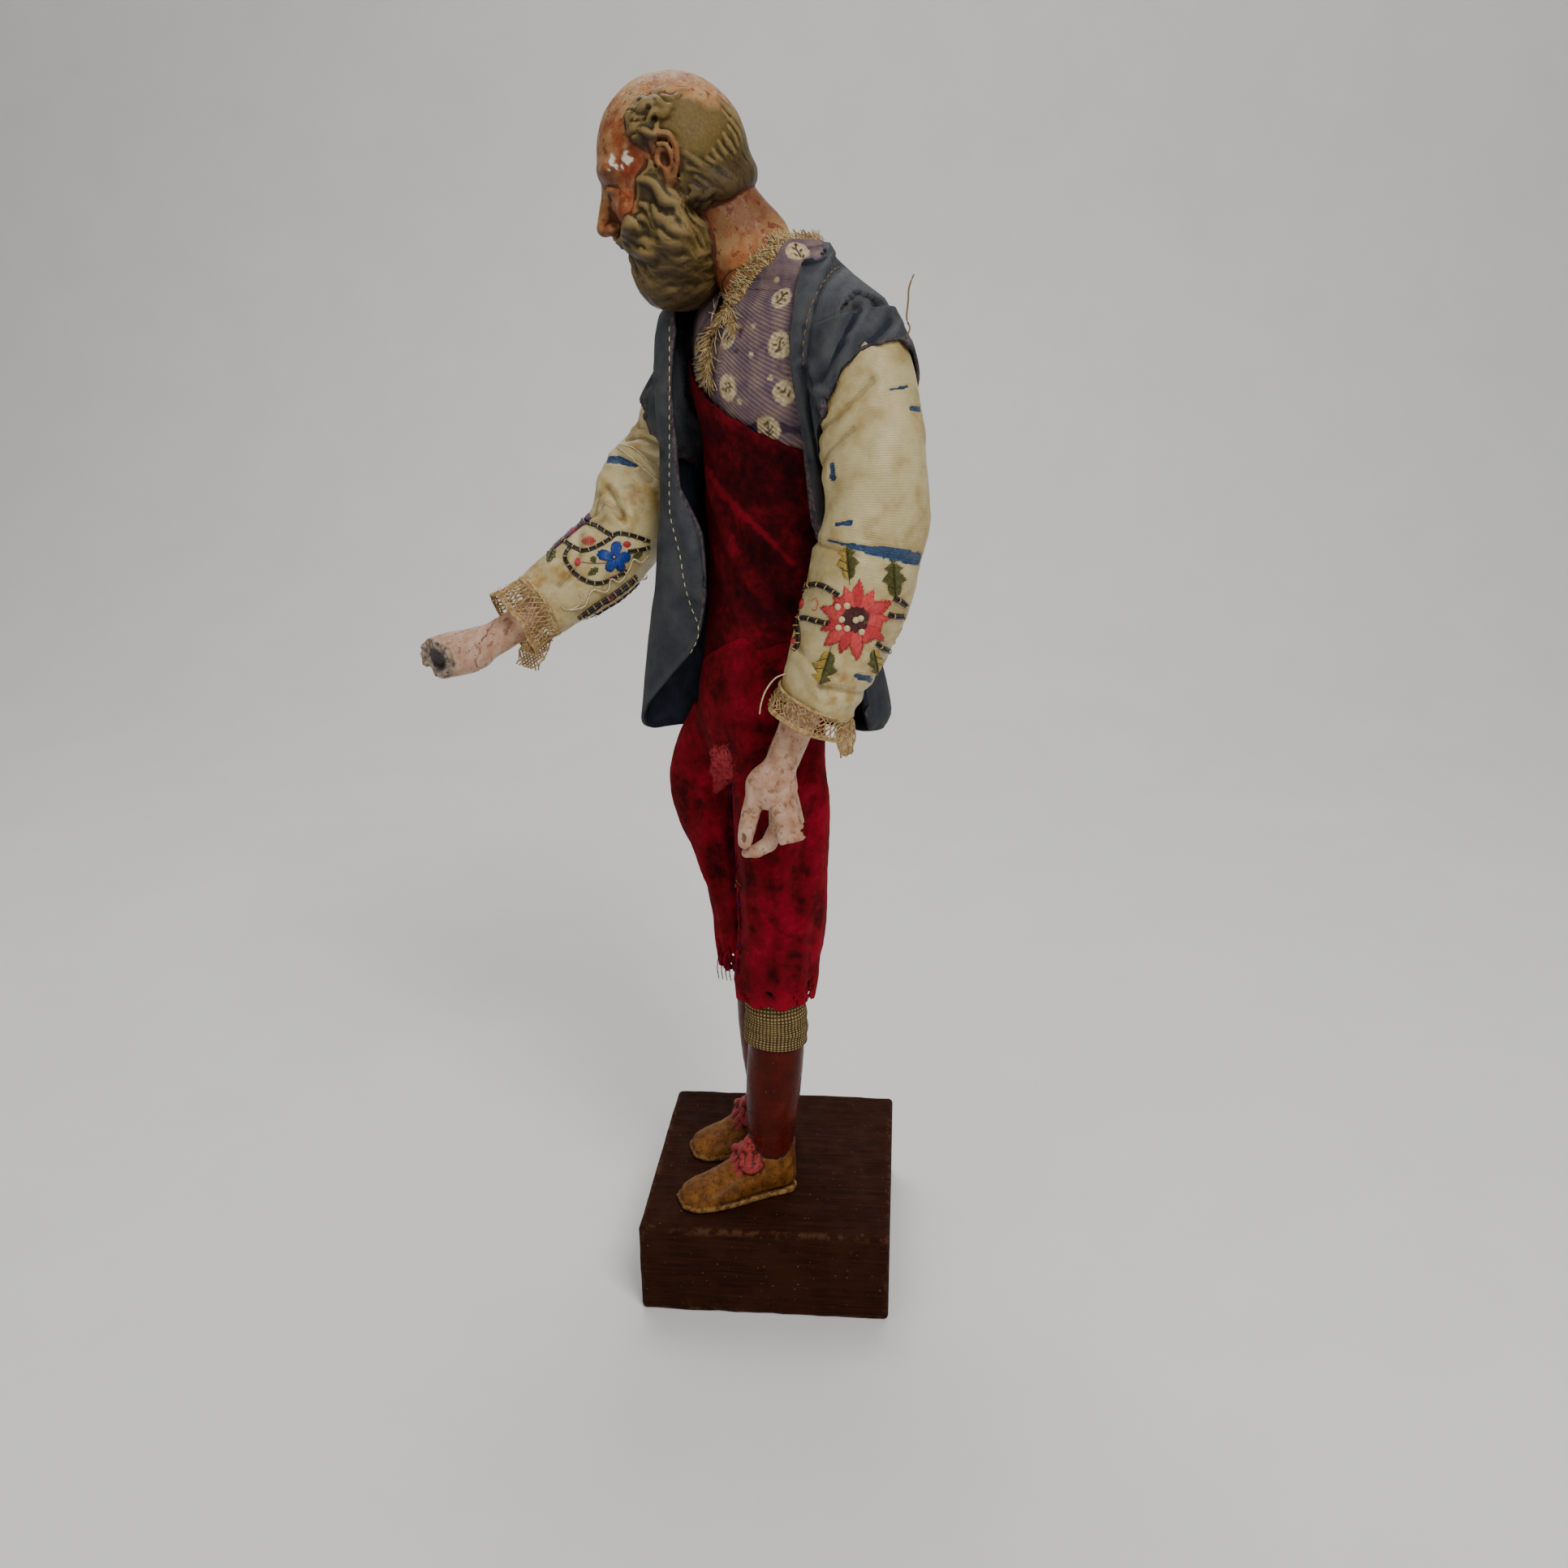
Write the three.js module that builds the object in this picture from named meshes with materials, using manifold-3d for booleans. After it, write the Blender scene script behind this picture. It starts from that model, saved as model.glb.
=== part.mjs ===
// A dressed presepe figure: an old bearded man of painted terracotta, carved wood and cloth, on a
// wooden block. Millimetres, +Z up, origin at the middle of the block's underside. The shoes point
// to -Y, and the figure's left side is towards +X.

import * as THREE from "three";
import { mergeVertices } from "three/addons/utils/BufferGeometryUtils.js";
import Module from "manifold-3d";

const wasm = await Module();
wasm.setup();

// Driving dimensions

const STATURE = 373; // from the soles to the crown, with the head bent forward
const BLOCK_WIDTH = 88; // along Y
const BLOCK_DEPTH = 94; // along X
const BLOCK_HEIGHT = 34;
const BLOCK_EDGE = 1.6; // rounding of the block's worn edges
const CLEARANCE = 0.3; // between two pieces that touch
const JACKET_CLOTH = 1.3; // thickness of the jacket with its lining
const LACE_CLOTH = 1.1; // thickness of a lace cuff
const KNIT_CLOTH = 0.9; // thickness of the knitted band at the left knee
const SHIRT_TUCK = 0.9; // how far the waistcoat stands proud of the shirt that is tucked in it

// The figure is drawn on a stature of 373 units, so that all its proportions follow the stature.
const UNIT = STATURE / 373;

// Poses, in figure units and degrees

const HEAD = { x: 2, y: -28, z: 349, nod: 21, turn: 3 };
const TORSO_TURN = 40; // how far the chest is turned from the toes to the figure's left
const HIP_TURN = 34;

const deg = THREE.MathUtils.degToRad;
const clamp = THREE.MathUtils.clamp;

const v3 = (x, y, z) => new THREE.Vector3(x, y, z);

// A point of the figure, in units above the soles, as a place in the part's frame.
const place = (x, y, z) => v3(x, y, z).multiplyScalar(UNIT).add(v3(0, 0, BLOCK_HEIGHT));

// A smooth bump of height 1 at zero that fades over the given width.
const bump = (x, width) => Math.exp(-((x / width) ** 2));

// The difference of two angles, from -180 to 180 degrees, in radians.
const turnBetween = (a, b) => Math.atan2(Math.sin(a - b), Math.cos(a - b));

// Solids

function solidOf(geometry) {
  const bare = geometry.clone();
  for (const name of ["normal", "uv"]) bare.deleteAttribute(name);
  const merged = mergeVertices(bare, 1e-4);
  return new wasm.Manifold(
    new wasm.Mesh({
      numProp: 3,
      vertProperties: merged.attributes.position.array,
      triVerts: new Uint32Array(merged.index.array),
    }),
  );
}

function geometryOf(solid) {
  const mesh = solid.getMesh();
  const geometry = new THREE.BufferGeometry();
  geometry.setAttribute("position", new THREE.BufferAttribute(mesh.vertProperties, 3));
  geometry.setIndex(new THREE.BufferAttribute(mesh.triVerts, 1));
  return geometry.toNonIndexed();
}

const join = (...solids) => solids.reduce((all, one) => all.add(one));
const cut = (solid, ...tools) => tools.reduce((rest, tool) => rest.subtract(tool), solid);

const smooth = (points) => new THREE.CatmullRomCurve3(points, false, "catmullrom", 0.5);

// A closed tube through rings of [x, y, z, half width, half depth] in units, listed upwards. heading
// turns the width from +X towards +Y. grow adds millimetres all round and at both ends. fold(t, angle)
// adds units outwards, with t from 0 to 1 along the tube and the angle from the side at 0 through the
// back at a quarter turn.
function tube(rings, { around = 20, along = 12, heading = 0, grow = 0, fold = null } = {}) {
  const spine = smooth(rings.map(([x, y, z]) => place(x, y, z)));
  const sizes = smooth(rings.map(([, , , half, deep]) => v3(half, deep, 0)));
  const width = v3(Math.cos(deg(heading)), Math.sin(deg(heading)), 0);
  const geometry = new THREE.CylinderGeometry(1, 1, 1, around, along);
  const points = geometry.attributes.position;
  for (let i = 0; i < points.count; i++) {
    const t = clamp(points.getY(i) + 0.5, 0, 1);
    const centre = spine.getPoint(t);
    const size = sizes.getPoint(t);
    const up = spine.getTangent(t);
    const across = width.clone().addScaledVector(up, -width.dot(up)).normalize();
    const back = up.clone().cross(across);
    const [c, s] = [points.getX(i), -points.getZ(i)];
    const proud = fold ? fold(t, Math.atan2(s, c)) : 0;
    centre.addScaledVector(across, c * ((size.x + proud) * UNIT + grow));
    centre.addScaledVector(back, s * ((size.y + proud) * UNIT + grow));
    centre.addScaledVector(up, (t >= 1 ? grow : 0) - (t <= 0 ? grow : 0));
    points.setXYZ(i, centre.x, centre.y, centre.z);
  }
  return solidOf(geometry);
}

// A rounded pod with its middle at a place in units, and half sizes in units along X, Y and Z before it is
// turned by the given degrees about X, then Z.
function pod(x, y, z, [rx, ry, rz], { tip = 0, turn = 0, around = 12, rows = 8 } = {}) {
  const ball = new THREE.SphereGeometry(UNIT, around, rows);
  ball.rotateX(Math.PI / 2);
  ball.scale(rx, ry, rz);
  ball.rotateX(deg(tip));
  ball.rotateZ(deg(turn));
  const p = place(x, y, z);
  ball.translate(p.x, p.y, p.z);
  return solidOf(ball);
}

// All that lies beyond a plane through a point in units, square to the given direction.
function beyond([x, y, z], way, shift = 0) {
  const box = new THREE.BoxGeometry(400, 400, 400);
  box.translate(0, 0, 200 + shift);
  box.applyQuaternion(new THREE.Quaternion().setFromUnitVectors(v3(0, 0, 1), v3(...way).normalize()));
  const p = place(x, y, z);
  box.translate(p.x, p.y, p.z);
  return solidOf(box);
}

// A place beside the chest's upright middle line, and a direction: so far to its front, so far to its left.
const [TURN_SIN, TURN_COS] = [Math.sin(deg(TORSO_TURN)), Math.cos(deg(TORSO_TURN))];
const chestWay = (front, left, up) => [
  front * TURN_SIN + left * TURN_COS,
  left * TURN_SIN - front * TURN_COS,
  up,
];

function byChest(front, left, z) {
  const [x, y] = chestWay(front, left, 0);
  return [x, y + 4.5, z];
}

// The wooden block

function makeBlock() {
  const outline = new THREE.Shape();
  const [x, y] = [BLOCK_DEPTH / 2 - BLOCK_EDGE, BLOCK_WIDTH / 2 - BLOCK_EDGE];
  outline.moveTo(-x, -y).lineTo(x, -y).lineTo(x, y).lineTo(-x, y).closePath();
  const block = new THREE.ExtrudeGeometry(outline, {
    depth: BLOCK_HEIGHT - 2 * BLOCK_EDGE,
    bevelThickness: BLOCK_EDGE,
    bevelSize: BLOCK_EDGE,
    bevelSegments: 3,
  });
  block.translate(0, 0, BLOCK_EDGE);
  return solidOf(block);
}

// A carved leg: stocking, shoe with its sole, and the tie on the instep

const LEG_TOP = 90;
const SOLE = 2; // thickness of the shoe's sole

const LEGS = {
  left: { x: 17.4, y: 0.2, turnOut: 25, toe: 34, knee: [16.5, 2.5] },
  right: { x: -13, y: -2.6, turnOut: 22, toe: 31, knee: [-14, -5] },
};

// A place beside the leg: so far to the toe and so far to its left, in units, with the shoe's turn-out.
function byFoot(leg, ahead, aside) {
  const a = deg(leg.turnOut);
  const x = leg.x + ahead * Math.sin(a) + aside * Math.cos(a);
  const y = leg.y - ahead * Math.cos(a) + aside * Math.sin(a);
  return [x, y];
}

function shank(leg, grow = 0) {
  const [kx, ky] = leg.knee;
  const rings = [
    [leg.x, leg.y, 5, 7.4, 7.8],
    [leg.x, leg.y, 19, 7.5, 8.2],
    [leg.x * 0.5 + kx * 0.5, leg.y * 0.5 + ky * 0.5, 40, 9.2, 9.8],
    [kx, ky, 58, 9.5, 9.9],
    [kx, ky, LEG_TOP, 8.6, 9],
  ];
  return tube(rings, { around: 12, along: 5, grow });
}

// The shoe from heel to toe: share of the way to the toe, height of the middle, half width, half height.
const SHOE = [
  [-0.22, 6.5, 4, 5],
  [-0.17, 8, 7, 8.6],
  [0.06, 8.4, 8.2, 9.6],
  [0.3, 6.4, 8.2, 8.8],
  [0.56, 3, 9, 7.4],
  [0.8, 2, 8.8, 5.8],
  [0.94, 1.6, 6.8, 4.6],
  [1, 1.2, 3.4, 2.6],
];

// The sole's outline: share of the way to the toe, half width.
const SOLE_OUTLINE = [
  [-0.25, 4.4],
  [-0.17, 8],
  [0.15, 8.6],
  [0.6, 9.9],
  [0.9, 8.6],
  [1.03, 4.4],
];

function makeLeg(leg) {
  const alongFoot = (share, ...sizes) => [...byFoot(leg, share * leg.toe, 0), ...sizes];
  const heading = leg.turnOut;
  const shoe = tube(SHOE.map((ring) => alongFoot(...ring)), { around: 10, along: 8, heading });
  const soleRings = SOLE_OUTLINE.map(([share, half]) => alongFoot(share, 0, half, SOLE));
  const sole = tube(soleRings, { around: 6, along: 7, heading });
  const lobe = (ahead, aside, z, sizes) =>
    pod(...byFoot(leg, ahead, aside), z, sizes, { tip: -30, turn: heading, around: 6, rows: 4 });
  const tie = join(
    lobe(8.8, 0.6, 16, [5, 3, 4.6]),
    lobe(9.6, 6, 13.4, [3.6, 2.8, 4]),
    lobe(9.6, -5.4, 14.4, [3.6, 2.8, 3.6]),
  );
  // Everything below the sole plane goes, so that the shoe stands flat, a clearance above the block.
  const under = beyond([leg.x, leg.y, 0], [0, 0, -1], -CLEARANCE);
  return cut(join(shank(leg), shoe, sole, tie), under);
}

// The knitted band shows below the left knee only

function kneeBand(grow = 0) {
  const [x, y] = LEGS.left.knee;
  const wrinkle = (t, a) => 0.35 * Math.sin(20 * t + 2 * Math.sin(a));
  const knit = grow + KNIT_CLOTH;
  const rings = [
    [x + 0.1, y - 0.3, 60.5, 9.9, 10.3],
    [x, y, 66, 10.1, 10.5],
    [x, y, 71, 9.7, 10.1],
    [x, y, 80, 9.3, 9.7],
  ];
  return tube(rings, { around: 12, along: 4, grow: knit, fold: wrinkle });
}

const makeKneeBand = () => cut(kneeBand(), shank(LEGS.left, CLEARANCE));

// Breeches of velvet: a seat and two legs with long sagging folds

const sag = (phase, deepest) => (t, a) => {
  const waves = 0.6 * Math.sin(3 * a + 4 * t + phase) + 0.4 * Math.sin(5 * a - 7 * t + phase);
  return deepest * Math.sin(Math.PI * clamp(t, 0.05, 0.95)) * waves;
};

function breechesLegs(grow = 0) {
  const near = tube(
    [
      [17, 2.6, 77, 12.6, 13.4],
      [17, 3, 86, 13.6, 14.4],
      [17, 4.6, 106, 13.8, 15.2],
      [17.4, 4.8, 145, 14.4, 15.8],
      [15, 3, 175, 13.4, 15.4],
    ],
    { around: 12, along: 7, grow, fold: sag(0.4, 1.1) },
  );
  const far = tube(
    [
      [-14, -10, 74.5, 10.6, 11.4],
      [-14, -10.5, 85, 11.6, 12.6],
      [-14, -11.5, 104, 12.4, 13.6],
      [-14.5, -16.5, 130, 14.6, 17.4],
      [-14, -17.5, 152, 15.4, 19.2],
      [-10, -11, 176, 13.4, 16.8],
    ],
    { around: 12, along: 8, grow, fold: sag(2.1, 1.2) },
  );
  return join(near, far);
}

// The seat runs up into the waist, where the waistcoat covers it.
const SEAT_RINGS = [
  [1, -2, 152, 14, 10],
  [1, -2.5, 162, 24, 17.5],
  [1, -2.5, 178, 26.5, 20],
  [0.5, -1, 194, 25.4, 19.6],
  [0, 1, 222, 24, 18],
];
const seat = (grow) => tube(SEAT_RINGS, { around: 16, along: 4, heading: HIP_TURN, grow });

// The waistcoat's hem slants down to the figure's right.
const WAIST = { at: byChest(0, 0, 196), way: chestWay(0, 0.5, -1) };

function makeBreeches() {
  const aboveWaist = beyond(WAIST.at, WAIST.way.map((n) => -n));
  const shanks = [shank(LEGS.left, CLEARANCE), shank(LEGS.right, CLEARANCE)];
  return cut(join(breechesLegs(), seat(0)), aboveWaist, ...shanks, kneeBand(CLEARANCE));
}

const TRUNK_RINGS = [
  [0, -0.5, 172, 28, 21.6],
  [0, 0.5, 198, 26.2, 20],
  [0, 1.5, 215, 25.4, 19.4],
  [0, 3, 240, 27, 20.4],
  [0, 4, 264, 29.6, 21.6],
  [1.4, 2.8, 284, 34.6, 23],
  [1.8, 2.6, 299, 37.6, 20],
  [1, 4, 309, 33, 16],
  [0, 5.2, 317, 20, 13],
  [-0.5, 5.6, 326, 12.6, 10.6],
];

// The stuffed trunk, from under the waistcoat's hem to the neck hole.
const trunk = (grow) => tube(TRUNK_RINGS, { around: 16, along: 11, heading: TORSO_TURN, grow });

// The waistcoat's top edge runs down across the chest, from the figure's right to its left.
const NECKLINE = { at: byChest(16, 0, 277), way: chestWay(0, 0.46, 1) };

const makeWaistcoat = () =>
  cut(trunk(0), beyond(NECKLINE.at, NECKLINE.way), beyond(WAIST.at, WAIST.way, -CLEARANCE));

// The shirt's neck is cut low in front, with a slit down the breast.
function makeShirt(neck) {
  const cloth = trunk(-SHIRT_TUCK).intersect(beyond(NECKLINE.at, NECKLINE.way, CLEARANCE));
  const neckHole = beyond(byChest(17, 0, 309), chestWay(0.62, 0, 1));
  const slit = new THREE.CylinderGeometry(1, 1, 1, 3);
  slit.rotateX(Math.PI / 2);
  slit.rotateZ(Math.PI / 6);
  slit.rotateX(Math.PI / 2);
  slit.scale(11 * UNIT, 5 * UNIT, 22 * UNIT);
  slit.rotateZ(deg(TORSO_TURN));
  const p = place(...byChest(20, -2, 300));
  slit.translate(p.x, p.y, p.z);
  return cut(cloth, neck, neckHole, solidOf(slit));
}

// Head, beard, hair and neck: one terracotta cast. Lengths are units in the head's own frame, with x to the
// face, y to its left ear and z to the crown.

function ellipsoid(p, [cx, cy, cz], [rx, ry, rz]) {
  const q = v3((p.x - cx) / rx, (p.y - cy) / ry, (p.z - cz) / rz);
  const g = v3(q.x / rx, q.y / ry, q.z / rz);
  const k = q.length();
  return k < 1e-6 ? -Math.min(rx, ry, rz) : (k * (k - 1)) / g.length();
}

// A rod from a to b, as thick as ra and rb at its ends.
function rod(p, a, b, ra, rb) {
  const [pa, ba] = [p.clone().sub(v3(...a)), v3(...b).sub(v3(...a))];
  const t = clamp(pa.dot(ba) / ba.lengthSq(), 0, 1);
  return pa.addScaledVector(ba, -t).length() - (ra + (rb - ra) * t);
}

function blend(a, b, k) {
  const h = Math.max(k - Math.abs(a - b), 0) / k;
  return Math.min(a, b) - h * h * k * 0.25;
}

const carve = (a, b, k) => -blend(-a, b, k);

// Waves of hair: ridges that wander along their way, from -1 to 1.
function locks(along, across, size) {
  const wander = 2.2 * Math.sin(along / (size * 1.5));
  return Math.sin((across + wander) / size) * (0.75 + 0.25 * Math.sin(along / size));
}

// The bald head with a calm, regular face.
function faceShape(s) {
  let d = ellipsoid(s, [-0.8, 0, 2.2], [22.2, 18.2, 21.5]);
  d = blend(d, ellipsoid(s, [7, 0, -9], [14.5, 14, 19]), 6);
  d = blend(d, ellipsoid(s, [10, 0, -22], [9.5, 9.5, 8.5]), 6);
  d = blend(d, ellipsoid(s, [18, 4, 3], [3.4, 9, 2.4]), 4);
  d = carve(d, ellipsoid(s, [23.5, 7.4, -3.5], [4.6, 4.4, 3.2]), 2.5);
  d = blend(d, ellipsoid(s, [16.6, 7.2, -4], [4, 4, 3.2]), 1);
  d = blend(d, rod(s, [21.5, 0, -2], [26.8, 0, -11.5], 1.9, 2.7), 2.2);
  d = blend(d, ellipsoid(s, [24.2, 2.8, -12.3], [2.4, 1.9, 1.8]), 1.2);
  return blend(d, ellipsoid(s, [15.4, 9.5, -10.5], [5, 4.5, 4.5]), 4);
}

function hairShape(p, s) {
  // Hair sweeps back from the temples over the ears, below a bald crown.
  const sweep = ellipsoid(s, [-2.6, 0, 0.6], [21.2, 20, 21]) - 0.8 * locks(p.x, s.z + 0.25 * p.x, 1.7);
  let hair = Math.max(sweep, p.z - 17 - 0.33 * (p.x + 2), p.x - 6);
  hair = blend(hair, ellipsoid(s, [-18.4, 0, -16], [5.6, 12.5, 5.4]) - 0.5 * locks(s.y, p.z, 1.6), 4);
  let beard = ellipsoid(s, [11.2, 0, -28.4], [13.4, 13.2, 14.6]);
  beard = blend(beard, ellipsoid(s, [5.5, 8, -20], [10, 8.4, 11.5]), 6);
  beard = blend(beard, rod(s, [2.5, 16.4, -6], [5, 13.6, -20], 3, 5), 4);
  beard = blend(beard, rod(s, [24, 0, -15.6], [14.5, 10, -21], 2.5, 3.2), 2);
  beard -= 1.1 * locks(p.z, p.x + 0.8 * s.y, 1.9);
  const lobe = ellipsoid(s, [0.2, 18.6, -7.5], [2.2, 1.7, 2.8]);
  const ear = blend(ellipsoid(s, [-0.5, 19, -1.5], [3.4, 2, 6.2]), lobe, 2);
  return Math.min(hair, beard, ear);
}

// The head's surface is met by rays from its middle, so it is closed whatever its carving.
function headBall(grow) {
  const ball = new THREE.IcosahedronGeometry(1, 9);
  const points = ball.attributes.position;
  const middle = v3(0, 0, -4);
  const nod = new THREE.Quaternion().setFromAxisAngle(v3(1, 0, 0), deg(HEAD.nod));
  const turn = new THREE.Quaternion().setFromAxisAngle(v3(0, 0, 1), deg(HEAD.turn));
  for (let i = 0; i < points.count; i++) {
    const ray = v3(points.getX(i), points.getY(i), points.getZ(i)).normalize();
    let reach = 48;
    for (let step = 0; step < 60; step++) {
      const p = middle.clone().addScaledVector(ray, reach);
      const s = v3(p.x, Math.abs(p.y), p.z);
      const d = blend(faceShape(s), hairShape(p, s), 0.8);
      if (d < 0.01) break;
      reach -= 0.7 * d;
    }
    const p = middle.clone().addScaledVector(ray, reach + grow / UNIT);
    const own = v3(p.y, -p.x, p.z).applyQuaternion(nod).applyQuaternion(turn);
    const q = place(HEAD.x + own.x, HEAD.y + own.y, HEAD.z + own.z);
    points.setXYZ(i, q.x, q.y, q.z);
  }
  return solidOf(ball);
}

// The neck runs up from the breast plate into the skull, wherever the head is.
function neckAndBreast(grow) {
  const rings = [
    [0.5, 4.5, 288, 13, 10],
    [0.6, 4, 304, 16.5, 12.6],
    [0.8, -1, 316, 14, 13.4],
    [HEAD.x - 1, HEAD.y + 19.5, HEAD.z - 22, 12, 12.2],
    [HEAD.x - 0.5, HEAD.y + 14, HEAD.z - 13, 11, 11],
    [HEAD.x, HEAD.y + 7, HEAD.z - 4, 10.4, 10.6],
  ];
  return tube(rings, { around: 14, along: 6, heading: 24, grow });
}

const makeHead = (grow = 0) => join(headBall(grow), neckAndBreast(grow));

// Arms: rings from the wrist up to the shoulder

const ARM_RINGS = {
  left: [
    [44.5, 18.2, 191, 11.4, 11.8],
    [45, 22.6, 199.5, 12, 12.4],
    [45, 28.4, 213, 13, 13.6],
    [44, 33, 229, 14.6, 15.2],
    [42.5, 35.5, 246, 15, 15.6],
    [40, 35.5, 264, 14.8, 15.4],
    [37, 34, 279, 14, 14.6],
    [35, 32, 292, 12.8, 13.2],
    [32.4, 29.6, 302, 8.6, 9],
  ],
  right: [
    [-4, -79.6, 209.6, 10.6, 11],
    [-9, -72, 214.4, 12.2, 12.8],
    [-16, -61, 222.6, 13.6, 14.4],
    [-22.5, -50.5, 235, 14.2, 14.8],
    [-27, -42, 251, 13.6, 14],
    [-29.5, -33, 270, 12.8, 13.2],
    [-30, -25.4, 285, 11.8, 12.2],
    [-28.5, -21.5, 296, 9.6, 10],
    [-27, -19, 302, 6, 6.4],
  ],
};
const ARM_HEADING = { left: 20, right: 40 };

// Creases about the elbow, and a slow wave along the whole sleeve.
function crease(t, a) {
  const elbow = 0.5 * Math.sin(24 * t + 1.5 * Math.sin(a)) * bump(t - 0.5, 0.22);
  return elbow + 0.35 * Math.sin(3 * a + 9 * t);
}

const sleeveWhole = (side, grow = 0) =>
  tube(ARM_RINGS[side], { around: 12, along: 11, heading: ARM_HEADING[side], grow, fold: crease });

// A lace cuff is a short band that stands out past the sleeve's end, with a torn tail that hangs down.
const CUFFS = {
  left: {
    long: 6.4,
    wider: 0.9,
    tail: { at: [39.5, 27.5, 178.5], sizes: [1.5, 6.2, 12], tip: 6, turn: 35 },
  },
  right: {
    long: 10,
    wider: 1.2,
    tail: { at: [-1.5, -81, 195.5], sizes: [1.5, 9, 13], tip: -22, turn: 20 },
  },
};

// Rings on past an arm's lower end, at the given distances, wider by the given amounts.
function pastSleeve(side, steps) {
  const [end, next] = ARM_RINGS[side].slice(0, 2).map((r) => v3(r[0], r[1], r[2]));
  const way = end.clone().sub(next).normalize();
  const [, , , half, deep] = ARM_RINGS[side][0];
  return steps.map(([far, wider]) => {
    const p = end.clone().addScaledVector(way, far);
    return [p.x, p.y, p.z, half + wider, deep + wider];
  });
}

function makeCuff(side, hand) {
  const { long, wider, tail } = CUFFS[side];
  const gap = CLEARANCE / UNIT;
  const opts = { around: 12, along: 2, heading: ARM_HEADING[side] };
  const frill = (t, a) => 0.6 * Math.sin(6 * a) * (1 - t);
  const band = tube(pastSleeve(side, [[long, wider], [long * 0.5, 0], [gap, 0]]), { ...opts, fold: frill });
  // The band is open at both ends, so its hollow runs past them.
  const inside = pastSleeve(side, [[long * 1.5, wider * 1.5], [long * 0.5, 0], [-1, 0]]);
  const hollow = tube(inside, { ...opts, grow: -LACE_CLOTH });
  const flap = new THREE.BoxGeometry(...tail.sizes.map((n) => n * UNIT));
  flap.rotateX(deg(tail.tip));
  flap.rotateZ(deg(tail.turn));
  const p = place(...tail.at);
  flap.translate(p.x, p.y, p.z);
  return cut(join(band, cut(solidOf(flap), sleeveWhole(side, CLEARANCE))), hollow, hand);
}

// Hands, carved with a wrist that runs up into the sleeve

function leftHand(grow = 0) {
  const finger = (rings, along) => tube(rings, { around: 6, along, heading: 80, grow });
  const palm = tube(
    [
      [45.5, 3, 160.5, 7.6, 3.4],
      [45, 4.6, 166, 7.6, 4.6],
      [44.6, 8, 173, 6.2, 5],
      [44.4, 11, 180, 5.8, 5],
      [44.4, 16, 192, 6.6, 5.8],
      [44.4, 18, 198, 6.8, 6],
    ],
    { around: 12, along: 6, heading: 75, grow },
  );
  const index = finger(
    [
      [46.2, -4, 145.6, 2.7, 2.7],
      [46, -2.6, 152, 3, 3],
      [45.6, -0.6, 160, 3.3, 3.4],
      [45.2, 1.5, 168, 3, 3],
    ],
    3,
  );
  const pair = finger(
    [
      [47.6, 11.2, 147.2, 5, 3.8],
      [47.4, 9.6, 153, 4.2, 3.7],
      [46, 7.6, 160, 3.8, 3.8],
      [45, 7, 167, 3.4, 3.4],
    ],
    3,
  );
  const little = finger(
    [
      [42.2, 12.4, 151.5, 2.5, 2.5],
      [42.8, 10.6, 158, 2.6, 2.6],
      [43.6, 9, 166, 2.6, 2.8],
    ],
    3,
  );
  const thumb = finger(
    [
      [42.5, -3.8, 140.2, 1.7, 1.8],
      [42.4, -0.6, 141, 2.4, 2.5],
      [42, 3.4, 143.4, 2.5, 2.7],
      [41.8, 6.2, 149, 2.6, 2.8],
      [42.2, 6.4, 157, 3, 3.2],
      [43.4, 6, 165, 3, 3.2],
    ],
    7,
  );
  return join(palm, index, pair, little, thumb);
}

// The right hand is broken off across the palm, and the break is hollow.
function rightHand(grow = 0) {
  const rings = [
    [10.5, -119, 194.5, 6, 7.2],
    [8.5, -111, 195.5, 6.8, 8],
    [5.6, -102.5, 197, 6.6, 7.4],
    [2, -93, 200.6, 5.8, 6],
    [-1, -85.5, 204.6, 5.4, 5.6],
    [-5, -78.5, 209.4, 5.8, 6],
    [-8.4, -73.2, 213.4, 6, 6.2],
  ];
  const whole = tube(rings, { around: 12, along: 7, heading: 40, grow });
  if (grow > 0) return whole;
  const broken = beyond([8.5, -112.6, 196], [0.35, -0.84, -0.4]);
  const hollow = pod(9.6, -114.5, 195, [4.6, 4.2, 4.8], { turn: 20, around: 8, rows: 5 });
  return cut(whole, broken, hollow);
}

const makeSleeve = (side, hand, body) => cut(sleeveWhole(side), hand, body);

// The jacket hangs open. It is a sheet from its right front edge round the back to its left front edge.

const JACKET_HEM = 165;
const JACKET_TOP = 324;

// Half width and half depth of the jacket about the chest's middle line, by height.
const JACKET_RINGS = [
  [150, 35.5, 33],
  [168, 35, 32],
  [190, 32.6, 29.4],
  [215, 30.4, 25.6],
  [240, 30, 24.2],
  [262, 31.6, 24],
  [282, 36.6, 24],
  [297, 43, 21.8],
  [303, 45, 20.2],
  [308, 43, 18.8],
  [313.5, 34, 16.8],
  [320, 21.6, 14.8],
  [326, 15.4, 12.8],
];

// Angles from the middle of the chest to the front edges, in degrees to the figure's left, by height. The
// sheet runs from the right edge backwards round to the left one.
const JACKET_EDGES = [
  [150, -14, 112],
  [190, -14, 104],
  [212, -18, 92],
  [240, -30, 82],
  [262, -32, 74],
  [282, -33, 64],
  [298, -33, 60],
  [306, -36, 62],
  [313, -50, 64],
  [320, -66, 68],
  [328, -76, 76],
];

// The two columns of such a table at a height, on straight lines between its rows.
function byHeight(table, z) {
  const upper = Math.max(1, table.findIndex(([at], i) => at >= z || i === table.length - 1));
  const [a, b] = [table[upper - 1], table[upper]];
  const t = clamp((z - a[0]) / (b[0] - a[0]), 0, 1);
  return [1, 2].map((i) => a[i] + (b[i] - a[i]) * t);
}

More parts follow.
